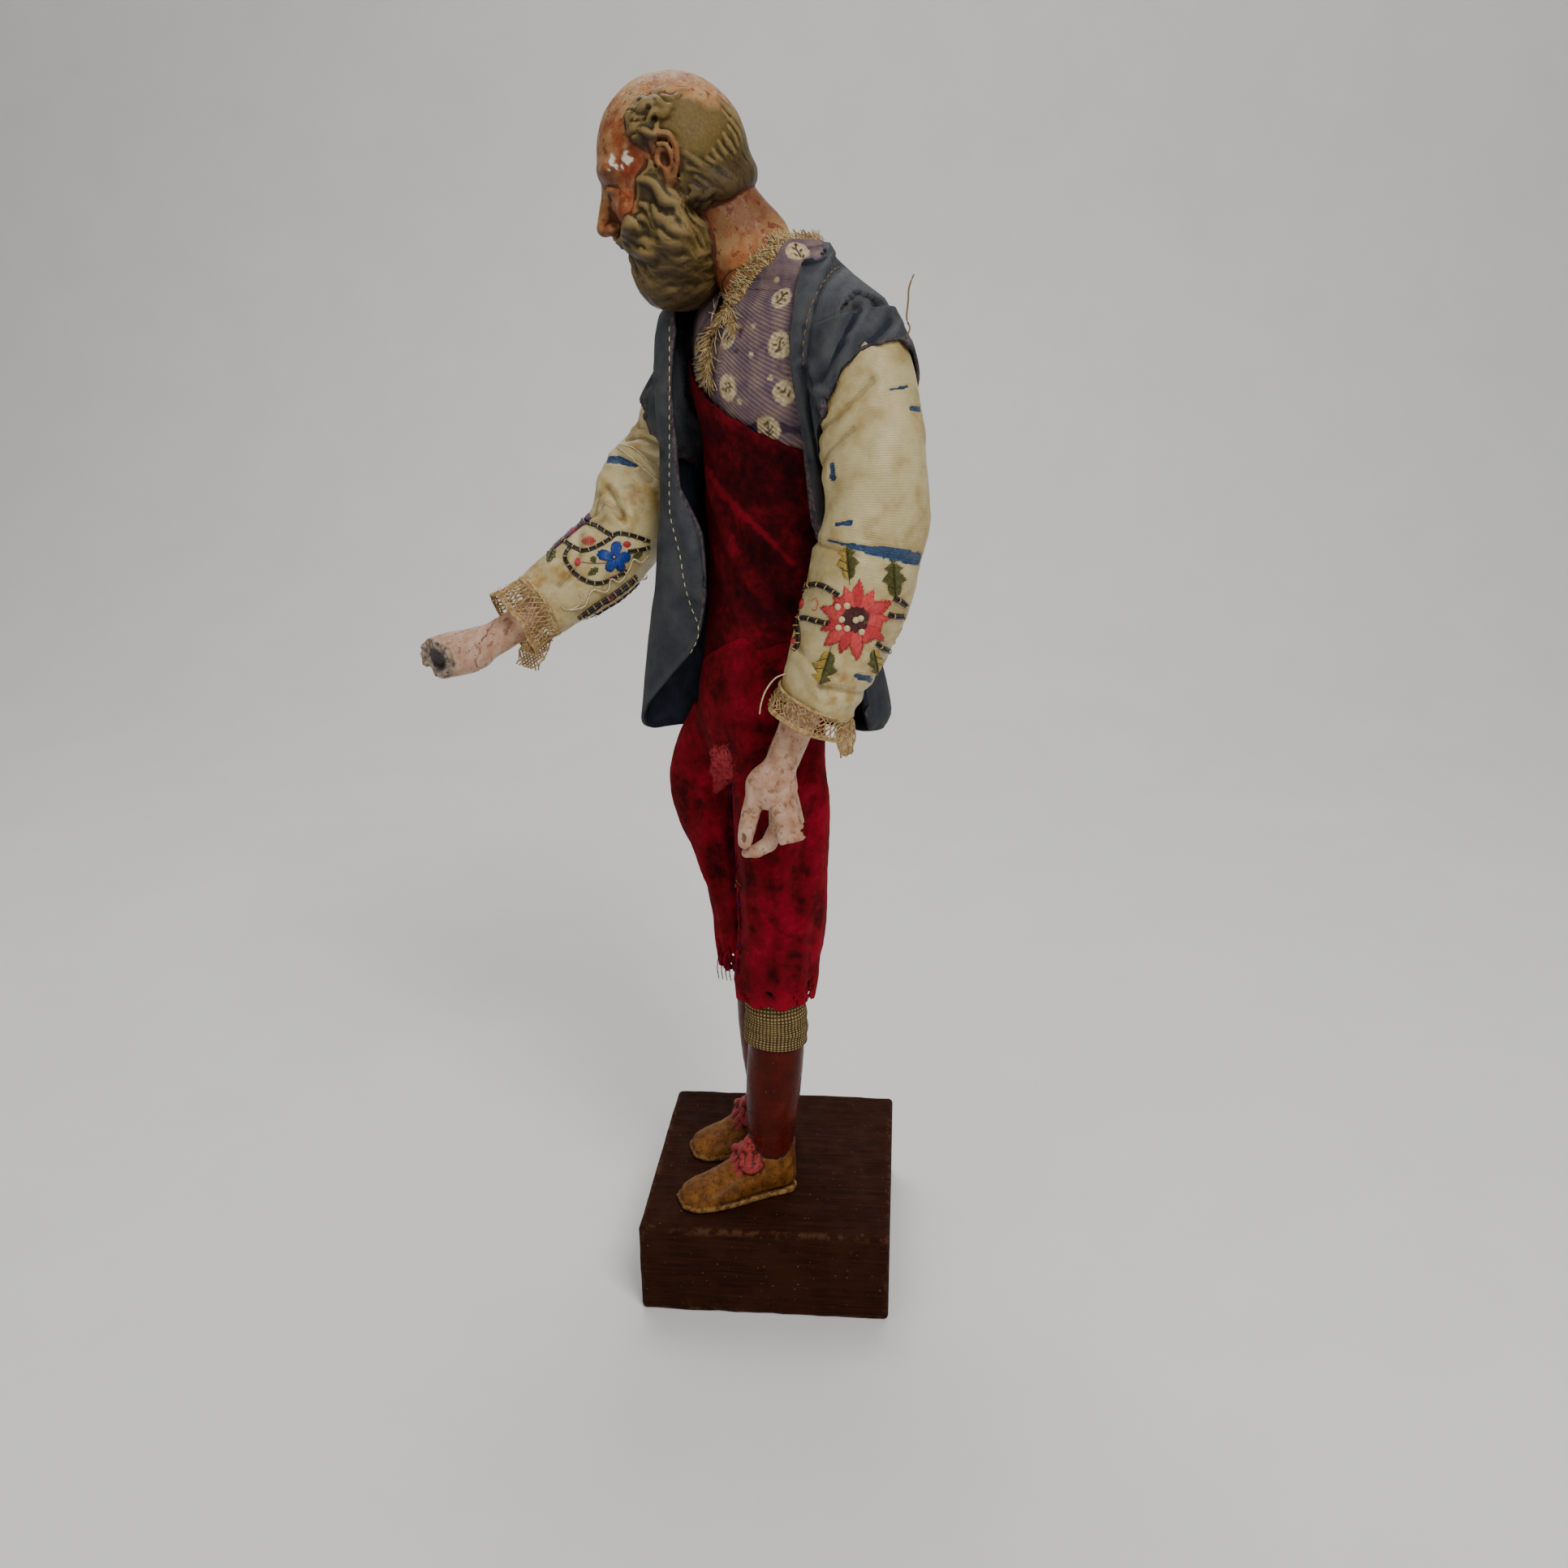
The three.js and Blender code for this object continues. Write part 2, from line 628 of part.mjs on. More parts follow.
const ramp = (x, from, to) => {
  const t = clamp((x - from) / (to - from), 0, 1);
  return t * t * (3 - 2 * t);
};

// Reach of the cloth from the middle line at an angle in degrees and a height.
function jacketReach(angle, z) {
  const [half, deep] = byHeight(JACKET_RINGS, z);
  const a = deg(angle);
  const base = 1 / Math.hypot(Math.sin(a) / half, Math.cos(a) / deep);
  // The right front swings forward in a deep fold, and the skirt hangs in waves.
  const swing = ramp(z, 321, 303) * (12.8 + 4 * ramp(z, 270, 180));
  const fold = swing * bump(turnBetween(a, deg(-47)), deg(23));
  const waves = 1.6 * Math.sin(5 * a + 0.6) + 3.4 * bump(turnBetween(a, deg(145)), deg(34));
  return base + fold + ramp(z, 250, 170) * waves;
}

function jacketSheet(inset = 0) {
  const cloth = new THREE.BoxGeometry(1, 1, 1, 23, 9, 1);
  const points = cloth.attributes.position;
  for (let i = 0; i < points.count; i++) {
    const [s, v] = [0.5 - points.getX(i), points.getY(i) + 0.5];
    const level = JACKET_HEM + (JACKET_TOP - JACKET_HEM) * (1 - (1 - v) ** 1.6);
    const [right, left] = byHeight(JACKET_EDGES, level);
    const angle = right + s * (left - 360 - right);
    // The right front's hem is cut away upwards, the left side rides up a little, and the neck dips.
    const lift = 34 * ramp(angle, -58, -14) + 8 * ramp(angle, -190, -240);
    const dip = 7 * (ramp(angle, -120, -70) + ramp(angle, -240, -290));
    const z = level + lift * (1 - v) ** 2 - dip * v ** 4;
    const reach = jacketReach(angle, z) - (points.getZ(i) < 0 ? JACKET_CLOTH / UNIT : 0) - inset;
    const p = place(...byChest(reach * Math.cos(deg(angle)), reach * Math.sin(deg(angle)), z));
    points.setXYZ(i, p.x, p.y, p.z);
  }
  return solidOf(cloth);
}

// The cap of the jacket over the top of an arm ends along a slanting edge.
const CAPS = {
  left: { at: [44, 42, 297], way: chestWay(0.1, 1.7, -1) },
  right: { at: [-35, -40, 276], way: chestWay(0.5, -1, -1) },
};

function shoulderCap(side) {
  const grow = CLEARANCE + JACKET_CLOTH;
  const cap = tube(ARM_RINGS[side].slice(4), { around: 12, along: 4, heading: ARM_HEADING[side], grow });
  return cut(cap, beyond(CAPS[side].at, CAPS[side].way));
}

function makeJacket(inside) {
  const cloth = join(jacketSheet(), shoulderCap("left"), shoulderCap("right"));
  return cut(cloth, inside.trunk, inside.leftSleeve, inside.rightSleeve, inside.hips, inside.head);
}

// Assembly

// The solids that other pieces are cut back from, a clearance larger than the real ones.
const roomFor = {
  neck: neckAndBreast(CLEARANCE),
  leftHand: leftHand(CLEARANCE),
  rightHand: rightHand(CLEARANCE),
  leftSleeve: sleeveWhole("left", CLEARANCE),
  rightSleeve: sleeveWhole("right", CLEARANCE),
  trunk: trunk(CLEARANCE),
  hips: join(breechesLegs(CLEARANCE), seat(CLEARANCE)),
  head: makeHead(CLEARANCE),
};

const figure = new THREE.Group();

function piece(name, solid, colour, roughness) {
  const look = { color: colour, roughness, metalness: 0, flatShading: true };
  const material = new THREE.MeshStandardMaterial(look);
  const mesh = new THREE.Mesh(geometryOf(solid), material);
  mesh.name = name;
  figure.add(mesh);
}

piece("base_block", makeBlock(), 0x3a211a, 0.65);
piece("left_leg", makeLeg(LEGS.left), 0x5e1a10, 0.35);
piece("right_leg", makeLeg(LEGS.right), 0x5e1a10, 0.35);
piece("left_knee_band", makeKneeBand(), 0x8a7a55, 0.95);
piece("breeches", makeBreeches(), 0x5a0712, 0.9);
piece("waistcoat", makeWaistcoat(), 0x3d040c, 0.9);
piece("shirt", makeShirt(roomFor.neck), 0x6a5a63, 0.9);
piece("head", makeHead(), 0xb98266, 0.5);
piece("left_hand", leftHand(), 0xb08a78, 0.55);
piece("right_hand", rightHand(), 0xb08a78, 0.55);
piece("left_sleeve", makeSleeve("left", roomFor.leftHand, roomFor.trunk), 0xb3a57c, 0.7);
piece("right_sleeve", makeSleeve("right", roomFor.rightHand, roomFor.trunk), 0xb3a57c, 0.7);
piece("left_cuff", makeCuff("left", roomFor.leftHand), 0xa08a5e, 0.95);
piece("right_cuff", makeCuff("right", roomFor.rightHand), 0xa08a5e, 0.95);
piece("jacket", makeJacket(roomFor), 0x2f3b45, 0.75);

export default figure;
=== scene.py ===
# A dressed presepe figure on its wooden block: a carved and painted head, hands, legs and shoes, and
# clothes of velvet, silk, knit and lace with their embroidery, tears, frayed edges and loose threads.

import itertools

import bpy
import numpy as np
from mathutils import Matrix, Vector
from mathutils.bvhtree import BVHTree


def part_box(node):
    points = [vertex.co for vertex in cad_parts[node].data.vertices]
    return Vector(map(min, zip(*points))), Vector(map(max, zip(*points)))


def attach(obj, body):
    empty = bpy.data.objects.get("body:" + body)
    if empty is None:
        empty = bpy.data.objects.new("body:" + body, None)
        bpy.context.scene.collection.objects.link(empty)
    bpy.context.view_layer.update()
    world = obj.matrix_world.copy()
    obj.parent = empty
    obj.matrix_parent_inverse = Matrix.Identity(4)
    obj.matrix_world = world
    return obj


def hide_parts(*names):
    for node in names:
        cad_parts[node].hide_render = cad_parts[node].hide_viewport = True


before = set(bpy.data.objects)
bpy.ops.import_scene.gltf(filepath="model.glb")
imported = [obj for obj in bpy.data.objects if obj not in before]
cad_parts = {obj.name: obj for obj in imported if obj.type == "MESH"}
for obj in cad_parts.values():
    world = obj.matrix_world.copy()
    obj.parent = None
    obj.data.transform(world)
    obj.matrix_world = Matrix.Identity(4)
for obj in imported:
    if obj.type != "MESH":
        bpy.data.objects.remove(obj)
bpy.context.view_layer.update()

# The figure is drawn in units above its soles. Its stature is 373 units.
HEAD_TOP = 372.8
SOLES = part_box("base_block")[1].z
UNIT = (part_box("head")[1].z - SOLES) / HEAD_TOP


def to_frame(points):
    return np.asarray(points, float) * UNIT + (0, 0, SOLES)


def to_units(points):
    return (np.asarray(points, float) - (0, 0, SOLES)) / UNIT


# Camera

CAMERA_AT = np.array([0.4662, 0.0449, 0.3397])
CAMERA_YAW, CAMERA_PITCH, CAMERA_ROLL = np.radians([4.94, -18.46, -0.48])
LENS = 32.74
SENSOR = 36.0
PHOTO_SIDE = 1932
FIGURE_AWAY = 460.0  # units from the camera to the middle of the figure


def camera_axes():
    flat = np.cos(CAMERA_PITCH)
    ahead = np.array([-flat * np.cos(CAMERA_YAW), -flat * np.sin(CAMERA_YAW), np.sin(CAMERA_PITCH)])
    right = unit(np.cross(ahead, (0, 0, 1)))
    up = np.cross(right, ahead)
    c, s = np.cos(CAMERA_ROLL), np.sin(CAMERA_ROLL)
    return ahead, c * right + s * up, c * up - s * right


def make_camera():
    ahead, right, up = camera_axes()
    camera = bpy.data.objects.new("camera", bpy.data.cameras.new("camera"))
    bpy.context.scene.collection.objects.link(camera)
    turn = Matrix(np.column_stack([right, up, -ahead]).tolist()).to_4x4()
    camera.matrix_world = Matrix.Translation(Vector(CAMERA_AT)) @ turn
    camera.data.sensor_width = SENSOR
    camera.data.lens = LENS
    camera.data.clip_start = 0.01
    bpy.context.scene.camera = camera


def sight(px, py):
    """The way from the camera through a pixel of the photograph."""
    ahead, right, up = camera_axes()
    focal = LENS / SENSOR * PHOTO_SIDE
    return unit(ahead + (px - PHOTO_SIDE / 2) / focal * right - (py - PHOTO_SIDE / 2) / focal * up)


def camera_pixels(points):
    """Where the camera sees points, as pixels of the photograph."""
    ahead, right, up = camera_axes()
    off = points - to_units(CAMERA_AT)
    focal = LENS / SENSOR * PHOTO_SIDE
    return np.stack([off @ right, -(off @ up)], -1) / (off @ ahead)[..., None] * focal + PHOTO_SIDE / 2


def meet(tree, pixel):
    """The point and way out where the camera's sight through a pixel meets a skin, or passes it."""
    eye, way, reach = Vector(to_units(CAMERA_AT)), Vector(sight(*pixel)), FIGURE_AWAY
    at, out = tree.ray_cast(eye, way)[:2]
    for _ in range(0 if at else 5):
        at, out = tree.find_nearest(eye + way * reach)[:2]
        reach = (at - eye).dot(way)
    return at, out


def faces_camera(points, normals):
    return ramp(np.sum(normals * unit(to_units(CAMERA_AT) - points), -1), 0.0, 0.2)


# Numbers

def unit(v):
    v = np.asarray(v, float)
    return v / np.maximum(np.linalg.norm(v, axis=-1, keepdims=True), 1e-12)


def bump(x, width):
    return np.exp(-((x / width) ** 2))


def round_angles(count):
    return np.linspace(0, 2 * np.pi, count, endpoint=False)


def ramp(x, start, end):
    t = np.clip((np.asarray(x, float) - start) / (end - start), 0, 1)
    return t * t * (3 - 2 * t)


def noise(points, size, seed=0):
    """Smooth noise from -1 to 1 at each point, with bumps of the given size."""
    q = np.asarray(points, float) / size + 31.7 * seed
    cell = np.floor(q).astype(np.int64)
    f = q - cell
    f = f * f * (3 - 2 * f)
    total = 0
    for corner in itertools.product((0, 1), repeat=3):
        c = cell + corner
        h = (c[..., 0] * 73856093) ^ (c[..., 1] * 19349663) ^ (c[..., 2] * 83492791)
        h = ((h ^ (h >> 13)) * 1274126177) & 0x7FFFFFFF
        value = ((h ^ (h >> 15)) & 0xFFFF) / 32768.0 - 1
        total = total + value * np.prod(np.where(corner, f, 1 - f), axis=-1)
    return total


def rough(points, size, seed):
    """Noise with bumps of the given size, and of a half and a quarter of it."""
    return sum(noise(points, size / 2**k, seed + k) / 2**k for k in range(3))


def through(rows, t):
    """The smooth curve through the rows, at shares t of the way from the first row to the last."""
    rows = np.asarray(rows, float)
    ends = np.vstack([2 * rows[0] - rows[1], rows, 2 * rows[-1] - rows[-2]])
    x = np.clip(t, 0, 1) * (len(rows) - 1)
    i = np.minimum(x.astype(int), len(rows) - 2)
    f = (x - i)[..., None]
    a, b, c, d = (ends[i + k] for k in range(4))
    return b + f * (c - a) / 2 + f**2 * (2 * a - 5 * b + 4 * c - d) / 2 + f**3 * (3 * b - a - 3 * c + d) / 2


def evenly(points, count):
    """The same line as count points at equal distances."""
    points = np.asarray(points, float)
    far = np.r_[0, np.cumsum(np.linalg.norm(np.diff(points, axis=0), axis=1))]
    at = np.linspace(0, far[-1], count)
    return np.column_stack([np.interp(at, far, points[:, k]) for k in range(points.shape[1])])


def curve(points, count):
    """A smooth line through a few points, as count points at equal distances."""
    return evenly(through(points, np.linspace(0, 1, 12 * len(points))), count)


# Skins

class Skin:
    """Points in units, faces of four corners, caps of many, and a place on the cloth for each corner."""

    def __init__(self, points, faces, cloth=None, caps=(), marks=None):
        self.points = np.asarray(points, float).reshape(-1, 3)
        self.faces = np.asarray(faces, int).reshape(-1, 4)
        self.cloth = np.zeros((len(self.faces), 4, 2)) if cloth is None else cloth
        self.caps = [np.asarray(c, int) for c in caps]
        self.marks = marks or {}

    def normals(self):
        a, b, c, d = (self.points[self.faces[:, k]] for k in range(4))
        flat = np.cross(c - a, d - b)
        return unit(self.gather(self.faces.ravel(), np.repeat(flat, 4, axis=0)))

    def gather(self, index, values):
        return np.stack([np.bincount(index, v, len(self.points)) for v in values.T], axis=1)

    def blurred(self, values, rounds):
        """Each point's values, averaged with its neighbours' a number of times."""
        a = self.faces.ravel()
        b = np.roll(self.faces, -1, axis=1).ravel()
        index = np.r_[a, b]
        count = np.maximum(np.bincount(index, minlength=len(self.points)), 1)[:, None]
        for _ in range(rounds):
            values = (self.gather(index, values[np.r_[b, a]]) / count + values) / 2
        return values

    def mark_hollows(self, rounds):
        """How deep each point lies among its neighbours, from -1 on a ridge to 1 in a groove."""
        depth = np.sum((self.blurred(self.points, rounds) - self.points) * self.normals(), axis=1)
        self.marks["hollow"] = np.clip(depth / (3 * np.median(np.abs(depth)) + 1e-9), -1, 1)
        return self

    def pushed(self, height):
        self.points = self.points + self.normals() * np.asarray(height)[:, None]
        return self

    def dyed(self, dye):
        self.marks["dye"] = np.full(len(self.points), (dye + 0.5) / len(DYES))
        return self


def joined(*skins):
    start = np.cumsum([0] + [len(s.points) for s in skins])
    names = set().union(*(s.marks for s in skins))
    marks = {n: np.concatenate([s.marks.get(n, np.zeros(len(s.points))) for s in skins]) for n in names}
    return Skin(
        np.vstack([s.points for s in skins]),
        np.vstack([s.faces + k for s, k in zip(skins, start)]),
        np.concatenate([s.cloth for s in skins]),
        [c + k for s, k in zip(skins, start) for c in s.caps],
        marks,
    )


def grid(points, wrap=False, capped=False):
    """A skin over rows and columns of points. Its cloth places are in units along each way."""
    rows, cols = points.shape[:2]
    r, c = np.meshgrid(np.arange(rows - 1), np.arange(cols if wrap else cols - 1), indexing="ij")
    corners = [(r, c), (r, c + 1), (r + 1, c + 1), (r + 1, c)]
    faces = np.stack([i * cols + j % cols for i, j in corners], -1).reshape(-1, 4)
    wide = np.linalg.norm(np.diff(points, axis=1), axis=2).mean()
    high = np.linalg.norm(np.diff(points, axis=0), axis=2).mean()
    cloth = np.stack([np.stack([j * wide, i * high], -1) for i, j in corners], 2).reshape(-1, 4, 2)
    ends = [np.arange(cols)[::-1], (rows - 1) * cols + np.arange(cols)] if capped else []
    return Skin(points, faces, cloth, ends)


def shell(points, thick, wrap=False):
    """A cloth of that thickness, with the given rows and columns on its outside. lining marks its inside."""
    outer = grid(points, wrap)
    rows, cols = points.shape[:2]
    inner = outer.points - outer.normals() * thick
    index = np.arange(rows * cols).reshape(rows, cols)
    rims = [index[0], index[-1][::-1]]
    if not wrap:
        rims += [index[:, 0][::-1], index[:, -1]]
    faces, cloth = [outer.faces, outer.faces[:, ::-1] + rows * cols], [outer.cloth, outer.cloth[:, ::-1]]
    for rim in rims:
        a = rim if not wrap else np.r_[rim, rim[0]]
        strip = np.stack([a[1:], a[:-1], a[:-1] + rows * cols, a[1:] + rows * cols], -1)
        faces.append(strip)
        cloth.append(np.zeros((len(strip), 4, 2)))
    marks = {"lining": np.r_[np.zeros(rows * cols), np.ones(rows * cols)]}
    return Skin(np.vstack([outer.points, inner]), np.vstack(faces), np.concatenate(cloth), (), marks)


def loft(rings, t, around, heading, grow=0.0):
    """Rows of points through rings of (x, y, z, half width, half depth), at shares t along them. The first
    point of a row lies at the side that heading turns from +X towards +Y."""
    rings = np.asarray(rings, float)
    at = through(rings, t)
    ahead = through(rings[:, :3], np.clip(t + 1e-3, 0, 1)) - through(rings[:, :3], np.clip(t - 1e-3, 0, 1))
    up = unit(ahead)
    side = np.array([np.cos(np.radians(heading)), np.sin(np.radians(heading)), 0])
    across = unit(side - up * (up @ side)[:, None])
    back = np.cross(up, across)
    a = round_angles(around)
    half, deep = at[:, 3, None, None] + grow, at[:, 4, None, None] + grow
    wide = across[:, None] * np.cos(a)[None, :, None] * half
    return at[:, None, :3] + wide + back[:, None] * np.sin(a)[None, :, None] * deep


def threads(lines, radius, sides, tips=1.0):
    """Round threads along lines of equally many points. tips is the share of the radius left at the ends."""
    lines = np.asarray(lines, float)
    count, long = lines.shape[:2]
    along = unit(np.gradient(lines, axis=1))
    apart = np.where(np.abs(along[..., 2:]) > 0.9, (1.0, 0, 0), (0, 0, 1.0))
    across = unit(np.cross(along, apart))
    back = np.cross(along, across)
    taper = tips + (1 - tips) * np.sin(np.linspace(0.02, np.pi - 0.02, long)) ** 0.5
    size = (np.broadcast_to(np.asarray(radius, float).reshape(-1, 1), (count, long)) * taper)[..., None, None]
    a = np.arange(sides) * 2 * np.pi / sides
    ring = across[:, :, None] * np.cos(a)[:, None] + back[:, :, None] * np.sin(a)[:, None]
    points = lines[:, :, None] + ring * size
    n, k, s = np.meshgrid(np.arange(count), np.arange(long - 1), np.arange(sides), indexing="ij")
    corners = [(k, s), (k, (s + 1) % sides), (k + 1, (s + 1) % sides), (k + 1, s)]
    faces = np.stack([(n * long + i) * sides + j for i, j in corners], -1).reshape(-1, 4)
    first, last = np.arange(count) * long * sides, (np.arange(count) + 1) * long * sides - sides
    half = range(1, sides - 2, 2)
    ends = [f + np.array([[0, m + 2, m + 1, m]]) for m in half for f in first]
    ends += [f + np.array([[0, m, m + 1, m + 2]]) for m in half for f in last]
    return Skin(points, np.vstack([faces, *ends]))


# Carved forms: distance functions, and the skin where they are 0

SIDE = 4  # grid points along the edge of a block of the grid


def ellipsoid(p, centre, radii):
    q = (p - centre) / radii
    k = np.linalg.norm(q, axis=-1)
    return k * (k - 1) / np.maximum(np.linalg.norm(q / radii, axis=-1), 1e-9)


def strand(p, line, size):
    """Distance to a rod that bends through the points of a line, with its radius at each."""
    line, size = np.asarray(line, float), np.asarray(size, float)
    way = np.diff(line, axis=0)
    off = p[..., None, :] - line[:-1]
    h = np.clip(np.sum(off * way, -1) / np.sum(way * way, -1), 0, 1)
    away = np.linalg.norm(off - h[..., None] * way, axis=-1)
    return np.min(away - size[:-1] - h * np.diff(size), axis=-1)


def blend(a, b, k):
    h = np.maximum(k - np.abs(a - b), 0) / k
    return np.minimum(a, b) - h * h * k / 4


def carve(a, b, k):
    return -blend(-a, b, k)


def shaped(p, *steps, d=None):
    """A form of ellipsoids, given as (softness, centre, radii), and bent rods, as (softness, line, radii).
    Each is blended on to the ones before it, or carved out of them where its softness is negative."""
    for soft, place, size in steps:
        part = (ellipsoid if np.ndim(place) == 1 else strand)(p, place, size)
        if d is None:
            d = part
        else:
            d = blend(d, part, soft) if soft > 0 else carve(d, part, -soft)
    return d


def net(field):
    """The skin between the grid points below 0 and the others, in grid steps."""
    size = np.array(field.shape) - 1
    inside = field < 0
    corners = np.array(list(itertools.product((0, 1), repeat=3)))
    part = [inside[i:size[0] + i, j:size[1] + j, k:size[2] + k].astype(np.int8) for i, j, k in corners]
    count = sum(part)
    cells = np.argwhere((count > 0) & (count < 8))
    index = np.full(size, -1)
    index[tuple(cells.T)] = np.arange(len(cells))
    total, hits = np.zeros((len(cells), 3)), np.zeros(len(cells))
    for a, b in itertools.combinations(corners, 2):
        if np.abs(a - b).sum() != 1:
            continue
        va, vb = field[tuple((cells + a).T)], field[tuple((cells + b).T)]
        crossed = (va < 0) != (vb < 0)
        share = np.where(crossed, va / np.where(crossed, va - vb, 1), 0)
        total += np.where(crossed[:, None], a + share[:, None] * (b - a), 0)
        hits += crossed
    faces = []
    for axis in range(3):
        u, v = np.roll(np.eye(3, dtype=int), -axis, axis=0)[[1, 2]]
        along = np.eye(3, dtype=int)[axis]
        first = inside[tuple(slice(0, n) for n in size)]
        second = inside[tuple(slice(s, n + s) for s, n in zip(along, size))]
        at = np.argwhere(first != second)
        at = at[np.all(at - u - v >= 0, axis=1)]
        quad = np.stack([index[tuple((at - s).T)] for s in (0 * u, u, u + v, v)], -1)
        out = first[tuple(at.T)]
        quad[~out] = quad[~out][:, ::-1]
        faces.append(quad)
    return Skin(cells + total / hits[:, None], np.vstack(faces))


def skin_of(distance, low, high, step, strands=(), merge=0.3):
    """The skin of a form, with strands merged on to it. Only blocks near the skin are worked out finely."""
    low = np.asarray(low, float)
    blocks = np.ceil((np.asarray(high) - low) / (SIDE * step)).astype(int)
    middles = low + (np.indices(blocks).reshape(3, -1).T * SIDE + (SIDE - 1) / 2) * step
    coarse = distance(middles).reshape(blocks)
    near = np.abs(coarse) < 1.2 * SIDE * step
    spans = []
    for line, size in strands:
        a = (np.min(line, axis=0) - np.max(size) - 2 * step - low) // (SIDE * step)
        b = (np.max(line, axis=0) + np.max(size) + 2 * step - low) // (SIDE * step) + 1
        span = tuple(slice(int(max(i, 0)), int(min(j, n))) for i, j, n in zip(a, b, blocks))
        near[span] = True
        spans.append(span)
    row = np.full(blocks, -1)
    row[near] = np.arange(near.sum())
    fine = low + (np.argwhere(near)[:, None] * SIDE + np.indices((SIDE,) * 3).reshape(3, -1).T) * step
    values = distance(fine)
    for (line, size), span in zip(strands, spans):
        rows = row[span].ravel()
        values[rows] = blend(values[rows], strand(fine[rows], line, size), merge)
    field = np.kron(coarse, np.ones((SIDE,) * 3))
    split = field.reshape(np.column_stack([blocks, [SIDE] * 3]).ravel()).transpose(0, 2, 4, 1, 3, 5)
    split[near] = values.reshape((-1,) + (SIDE,) * 3)
    for axis in range(3):
        np.moveaxis(field, axis, 0)[[0, -1]] = step
    skin = net(field)
    skin.points = low + skin.points * step
    return skin


def slope(distance, p):
    """The way out of a form at p."""
    steps = 0.05 * np.eye(3)
    return unit(np.stack([distance(p + s) - distance(p - s) for s in steps], -1))


def scattered(distance, middle, count):
    """Points on a form, spread evenly as seen from its middle."""
    k = np.arange(count) + 0.5
    z, a = 1 - 2 * k / count, k * np.pi * (1 + 5**0.5)
    way = np.stack([np.sqrt(1 - z * z) * np.cos(a), np.sqrt(1 - z * z) * np.sin(a), z], -1)
    reach = np.full(count, 60.0)
    for _ in range(50):
        reach -= 0.8 * distance(middle + way * reach[:, None])
    return middle + way * reach[:, None]


def locks(distance, flow, starts, long, sway, curl, wide, seed, steps, ridges, lift):
    """Wavy locks that lie on a form, each a soft body with fine ridges along it, as (line, radii)."""
    dice = np.random.default_rng(seed)
    n = len(starts)
    phase = dice.uniform(0, 2 * np.pi, n)
    side = dice.choice([-1, 1], n, p=[0.25, 0.75]) * np.sign(starts[:, 1])
    long = long * dice.uniform(0.75, 1.25, n)
    wide = wide * dice.uniform(0.75, 1.2, n)
    p, lines, outs = starts, [], []
    for k in range(steps):
        out = slope(distance, p)
        p = p - out * distance(p)[:, None]
        lines.append(p)
        outs.append(out)
        way = flow(p)
        way = unit(way - out * np.sum(way * out, axis=1)[:, None])
        share = k / (steps - 1)
        bend = sway * np.sin(phase + 2 * np.pi * share) + side * curl * share**2
        p = p + unit(way + np.cross(out, way) * bend[:, None]) * (long / (steps - 1))[:, None]
    lines, outs = np.stack(lines, 1), np.stack(outs, 1)
    aside = np.cross(outs, unit(np.gradient(lines, axis=1)))
    share = np.linspace(0, 1, steps)
    body = np.sin(np.pi * np.clip(0.1 + 0.88 * share, 0, 1)) ** 0.8
    radius = wide[:, None] / 2 * body
    middle = lines + outs * (radius * (lift * 2 - 1))[..., None]
    made = list(zip(middle, radius))
    for j in range(ridges):
        angle = (j - (ridges - 1) / 2) * 0.62 + 0.35 * np.sin(2 * np.pi * share + phase[:, None])
        round_it = aside * np.sin(angle)[..., None] + outs * np.cos(angle)[..., None]
        made += list(zip(middle + round_it * (radius * 0.93)[..., None], 0.05 + radius * 0.23))
    return made


# The head: one cast of skull, face, hair, beard, ears, neck and breast. Its own x runs to the face, its y
# to its left ear and its z to its crown.

HEAD_AT = np.array([2.0, -28.0, 349.0])
HEAD_NOD, HEAD_TURN = np.radians([21, 3])
HEAD_STEP = 0.56


def turned(axis, angle):
    return np.array(Matrix.Rotation(angle, 3, axis))


HEAD_WAYS = turned("Z", HEAD_TURN) @ turned("X", HEAD_NOD) @ np.array([[0, 1, 0], [-1, 0, 0], [0, 0, 1]])


def from_head(p):
    return p @ HEAD_WAYS.T + HEAD_AT


def to_head(p):
    return (np.asarray(p, float) - HEAD_AT) @ HEAD_WAYS


def mirrored(p):
    return np.stack([p[..., 0], np.abs(p[..., 1]), p[..., 2]], -1)


def skull(p):
    """The bald head with a calm, regular face."""
    return shaped(mirrored(p), *SKULL)


EYE = (16.6, 7.2, -4), (4, 4, 3.2)
SKULL = [
    (0, (-0.8, 0, 2.2), (22.2, 18.2, 21.5)), (6, (7, 0, -9), (14.5, 14, 19)),  # dome and face
    (6, (10, 0, -22), (9.5, 9.5, 8.5)), (4, (18, 4, 3), (3.4, 9, 2.4)),  # chin and brow
    (-2.5, (23.5, 7.4, -3.5), (4.6, 4.4, 3.2)), (0.7, *EYE),  # eye socket and eye
    # Eyelids
    (0.4, [(18.6, 3.4, -3.6), (20.6, 6, -2.2), (20.2, 8.6, -2.3), (17.6, 11.4, -4)], [0.5, 0.8, 0.8, 0.5]),
    (0.5, [(18.6, 3.6, -4.6), (20, 6.6, -6), (17.8, 10.8, -5)], [0.4, 0.6, 0.4]),
    # Nose
    (2.2, [(21.5, 0, -2), (26.6, 0, -11)], [1.9, 2.6]),
    (1.5, [(19.5, 0, -5), (22.4, 0, -12.4), (21.4, 0, -17)], [2, 2.8, 2.6]),
    (1.2, (24.2, 2.8, -12.3), (2.4, 1.9, 1.8)), (-0.4, (24.6, 1.9, -14), (1.3, 0.9, 1)),
    (4, (15.4, 9.5, -10.5), (5, 4.5, 4.5)), (0.8, (19.4, 0, -20.6), (3, 4.4, 1.5)),  # cheekbone and lip
]


